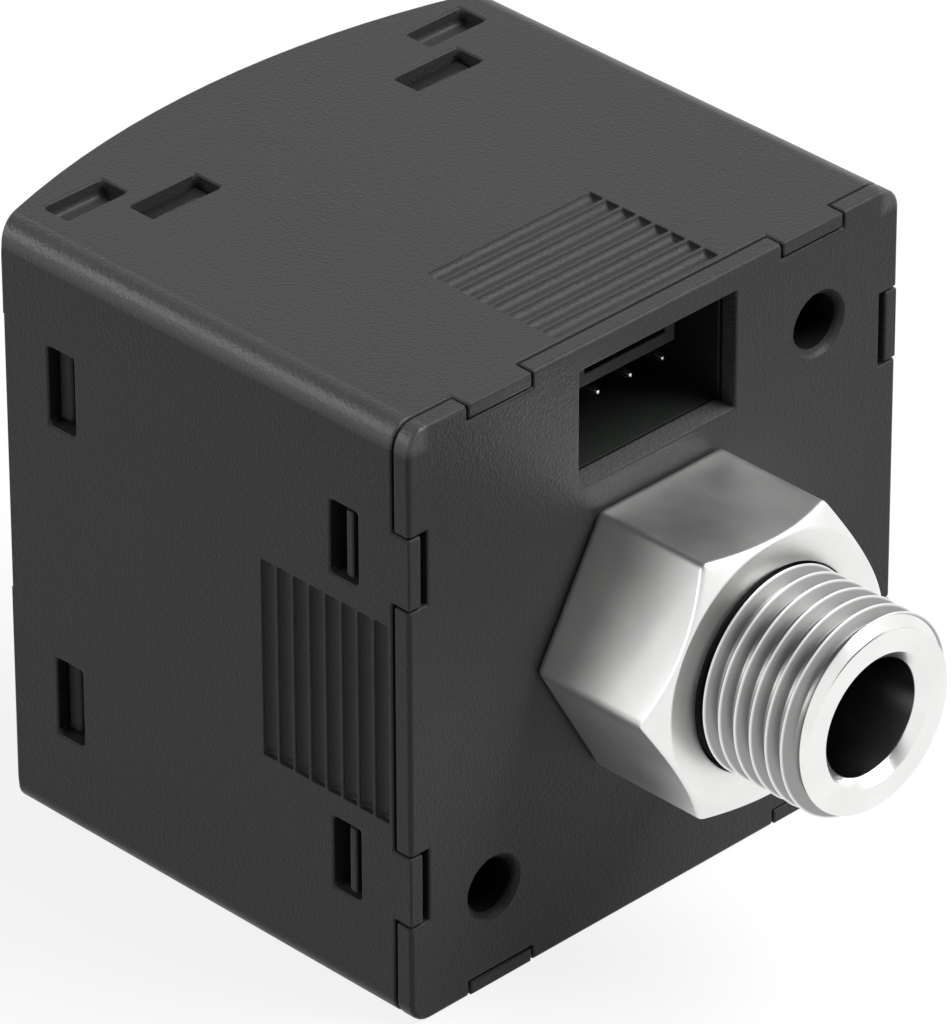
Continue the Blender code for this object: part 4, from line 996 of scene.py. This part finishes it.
def seen_directly(nodes, links):
    """1 for camera, glossy and transmission rays, and 0 for the others."""
    path = nodes.new("ShaderNodeLightPath")
    total = path.outputs["Is Camera Ray"]
    for name in ("Is Glossy Ray", "Is Transmission Ray"):
        node = nodes.new("ShaderNodeMath")
        node.operation = "MAXIMUM"
        links.new(total, node.inputs[0])
        links.new(path.outputs[name], node.inputs[1])
        total = node.outputs[0]
    return total


def floor_material(colour):
    """Matt floor that keeps its shadow and is lifted to white where it is seen."""
    made = bpy.data.materials.new("studio_floor")
    made.use_nodes = True
    nodes, links = made.node_tree.nodes, made.node_tree.links
    nodes.remove(nodes["Principled BSDF"])
    matt = nodes.new("ShaderNodeBsdfDiffuse")
    matt.inputs["Color"].default_value = (*colour, 1.0)
    shine = nodes.new("ShaderNodeEmission")
    strength = nodes.new("ShaderNodeMath")
    strength.operation = "MULTIPLY"
    strength.inputs[1].default_value = FLOOR_GLOW
    links.new(seen_directly(nodes, links), strength.inputs[0])
    links.new(strength.outputs[0], shine.inputs["Strength"])
    both = nodes.new("ShaderNodeAddShader")
    links.new(matt.outputs[0], both.inputs[0])
    links.new(shine.outputs[0], both.inputs[1])
    links.new(both.outputs[0], nodes["Material Output"].inputs["Surface"])
    return made


def studio_world():
    """A soft even light. Where it is seen, it is white at the horizon and greyer above."""
    world = bpy.data.worlds.new("studio_world")
    world.use_nodes = True
    nodes, links = world.node_tree.nodes, world.node_tree.links
    background = nodes["Background"]
    background.inputs["Color"].default_value = (1.0, 1.0, 1.0, 1.0)
    split = nodes.new("ShaderNodeSeparateXYZ")
    links.new(nodes.new("ShaderNodeTexCoord").outputs["Generated"], split.inputs[0])
    sky = nodes.new("ShaderNodeMapRange")
    sky.inputs["From Min"].default_value = SKY_RAMP[0]
    sky.inputs["From Max"].default_value = SKY_RAMP[1]
    sky.inputs["To Min"].default_value = 1.0
    sky.inputs["To Max"].default_value = ZENITH_LEVEL
    links.new(split.outputs["Z"], sky.inputs["Value"])
    strength = nodes.new("ShaderNodeMapRange")
    strength.inputs["To Min"].default_value = WORLD_LEVEL
    links.new(sky.outputs[0], strength.inputs["To Max"])
    links.new(seen_directly(nodes, links), strength.inputs["Value"])
    links.new(strength.outputs[0], background.inputs["Strength"])
    bpy.context.scene.world = world


def add_camera():
    """The photograph's viewpoint, from its direction, distance and lens."""
    a, e, roll = CAMERA_AZIMUTH, CAMERA_ELEVATION, CAMERA_ROLL
    back = Vector((math.sin(a) * math.cos(e), -math.cos(a) * math.cos(e), math.sin(e)))
    right = Vector((math.cos(a), math.sin(a), 0.0))
    up = back.cross(right)
    right, up = (
        right * math.cos(roll) + up * math.sin(roll),
        up * math.cos(roll) - right * math.sin(roll),
    )
    data = bpy.data.cameras.new("photo_camera")
    data.sensor_width = CAMERA_SENSOR
    data.lens = CAMERA_LENS
    data.clip_start = 0.01
    data.clip_end = 20.0
    camera = bpy.data.objects.new("photo_camera", data)
    place = Vector((0.0, REAR_Y, AXIS_Z))
    place += right * CAMERA_ACROSS + up * CAMERA_UP + back * CAMERA_DISTANCE
    turn = Matrix((right, up, back)).transposed()
    camera.matrix_world = Matrix.Translation(place) @ turn.to_4x4()
    bpy.context.scene.collection.objects.link(camera)
    bpy.context.scene.camera = camera


class SENSOR_OT_studio(bpy.types.Operator):
    """Sets up the pale floor, the soft lights, the world and the camera"""

    bl_idname = "sensor.studio"
    bl_label = "Studio"

    def execute(self, context):
        low, high = (Vector(corner) for corner in CAD_BOX)
        middle = (low + high) / 2
        bm = bmesh.new()
        bmesh.ops.create_circle(
            bm, cap_ends=True, segments=96, radius=FLOOR_RADIUS,
            matrix=Matrix.Translation((middle.x, middle.y, low.z)),
        )
        mesh = bpy.data.meshes.new("floor")
        bm.to_mesh(mesh)
        bm.free()
        mesh.materials.append(floor_material(colours().floor))
        floor = bpy.data.objects.new("floor", mesh)
        context.scene.collection.objects.link(floor)
        for light in LIGHTS:
            area_light(*light, middle)
        studio_world()
        add_camera()
        context.scene.view_settings.view_transform = "Standard"
        return {"FINISHED"}


class SENSOR_PT_panel(bpy.types.Panel):
    """Lists the pieces of the sensor and their sizes and colours"""

    bl_idname = "SENSOR_PT_panel"
    bl_label = "Pressure Sensor"
    bl_space_type = "VIEW_3D"
    bl_region_type = "UI"
    bl_category = "Sensor"

    def draw(self, context):
        layout = self.layout
        for group in (context.scene.sensor_sizes, context.scene.sensor_colours):
            box = layout.box()
            for name in group.__annotations__:
                box.prop(group, name)
        for step in STEPS:
            layout.operator(step.bl_idname)


STEPS = (
    SENSOR_OT_moulded_body, SENSOR_OT_socket, SENSOR_OT_front, SENSOR_OT_fitting,
    SENSOR_OT_seal_ring, SENSOR_OT_inner_parts, SENSOR_OT_studio,
)
CLASSES = (SensorSizes, SensorColours, *STEPS, SENSOR_PT_panel)


def register():
    for cls in CLASSES:
        bpy.utils.register_class(cls)
    bpy.types.Scene.sensor_sizes = bpy.props.PointerProperty(type=SensorSizes)
    bpy.types.Scene.sensor_colours = bpy.props.PointerProperty(type=SensorColours)


def unregister():
    del bpy.types.Scene.sensor_colours
    del bpy.types.Scene.sensor_sizes
    for cls in reversed(CLASSES):
        bpy.utils.unregister_class(cls)


def main():
    for name in ("Cube", "Light", "Camera"):
        if name in bpy.data.objects:
            bpy.data.objects.remove(bpy.data.objects[name])
    register()
    for step in STEPS:
        group, name = step.bl_idname.split(".")
        getattr(getattr(bpy.ops, group), name)()
    bpy.context.view_layer.update()


if __name__ == "__main__":
    main()
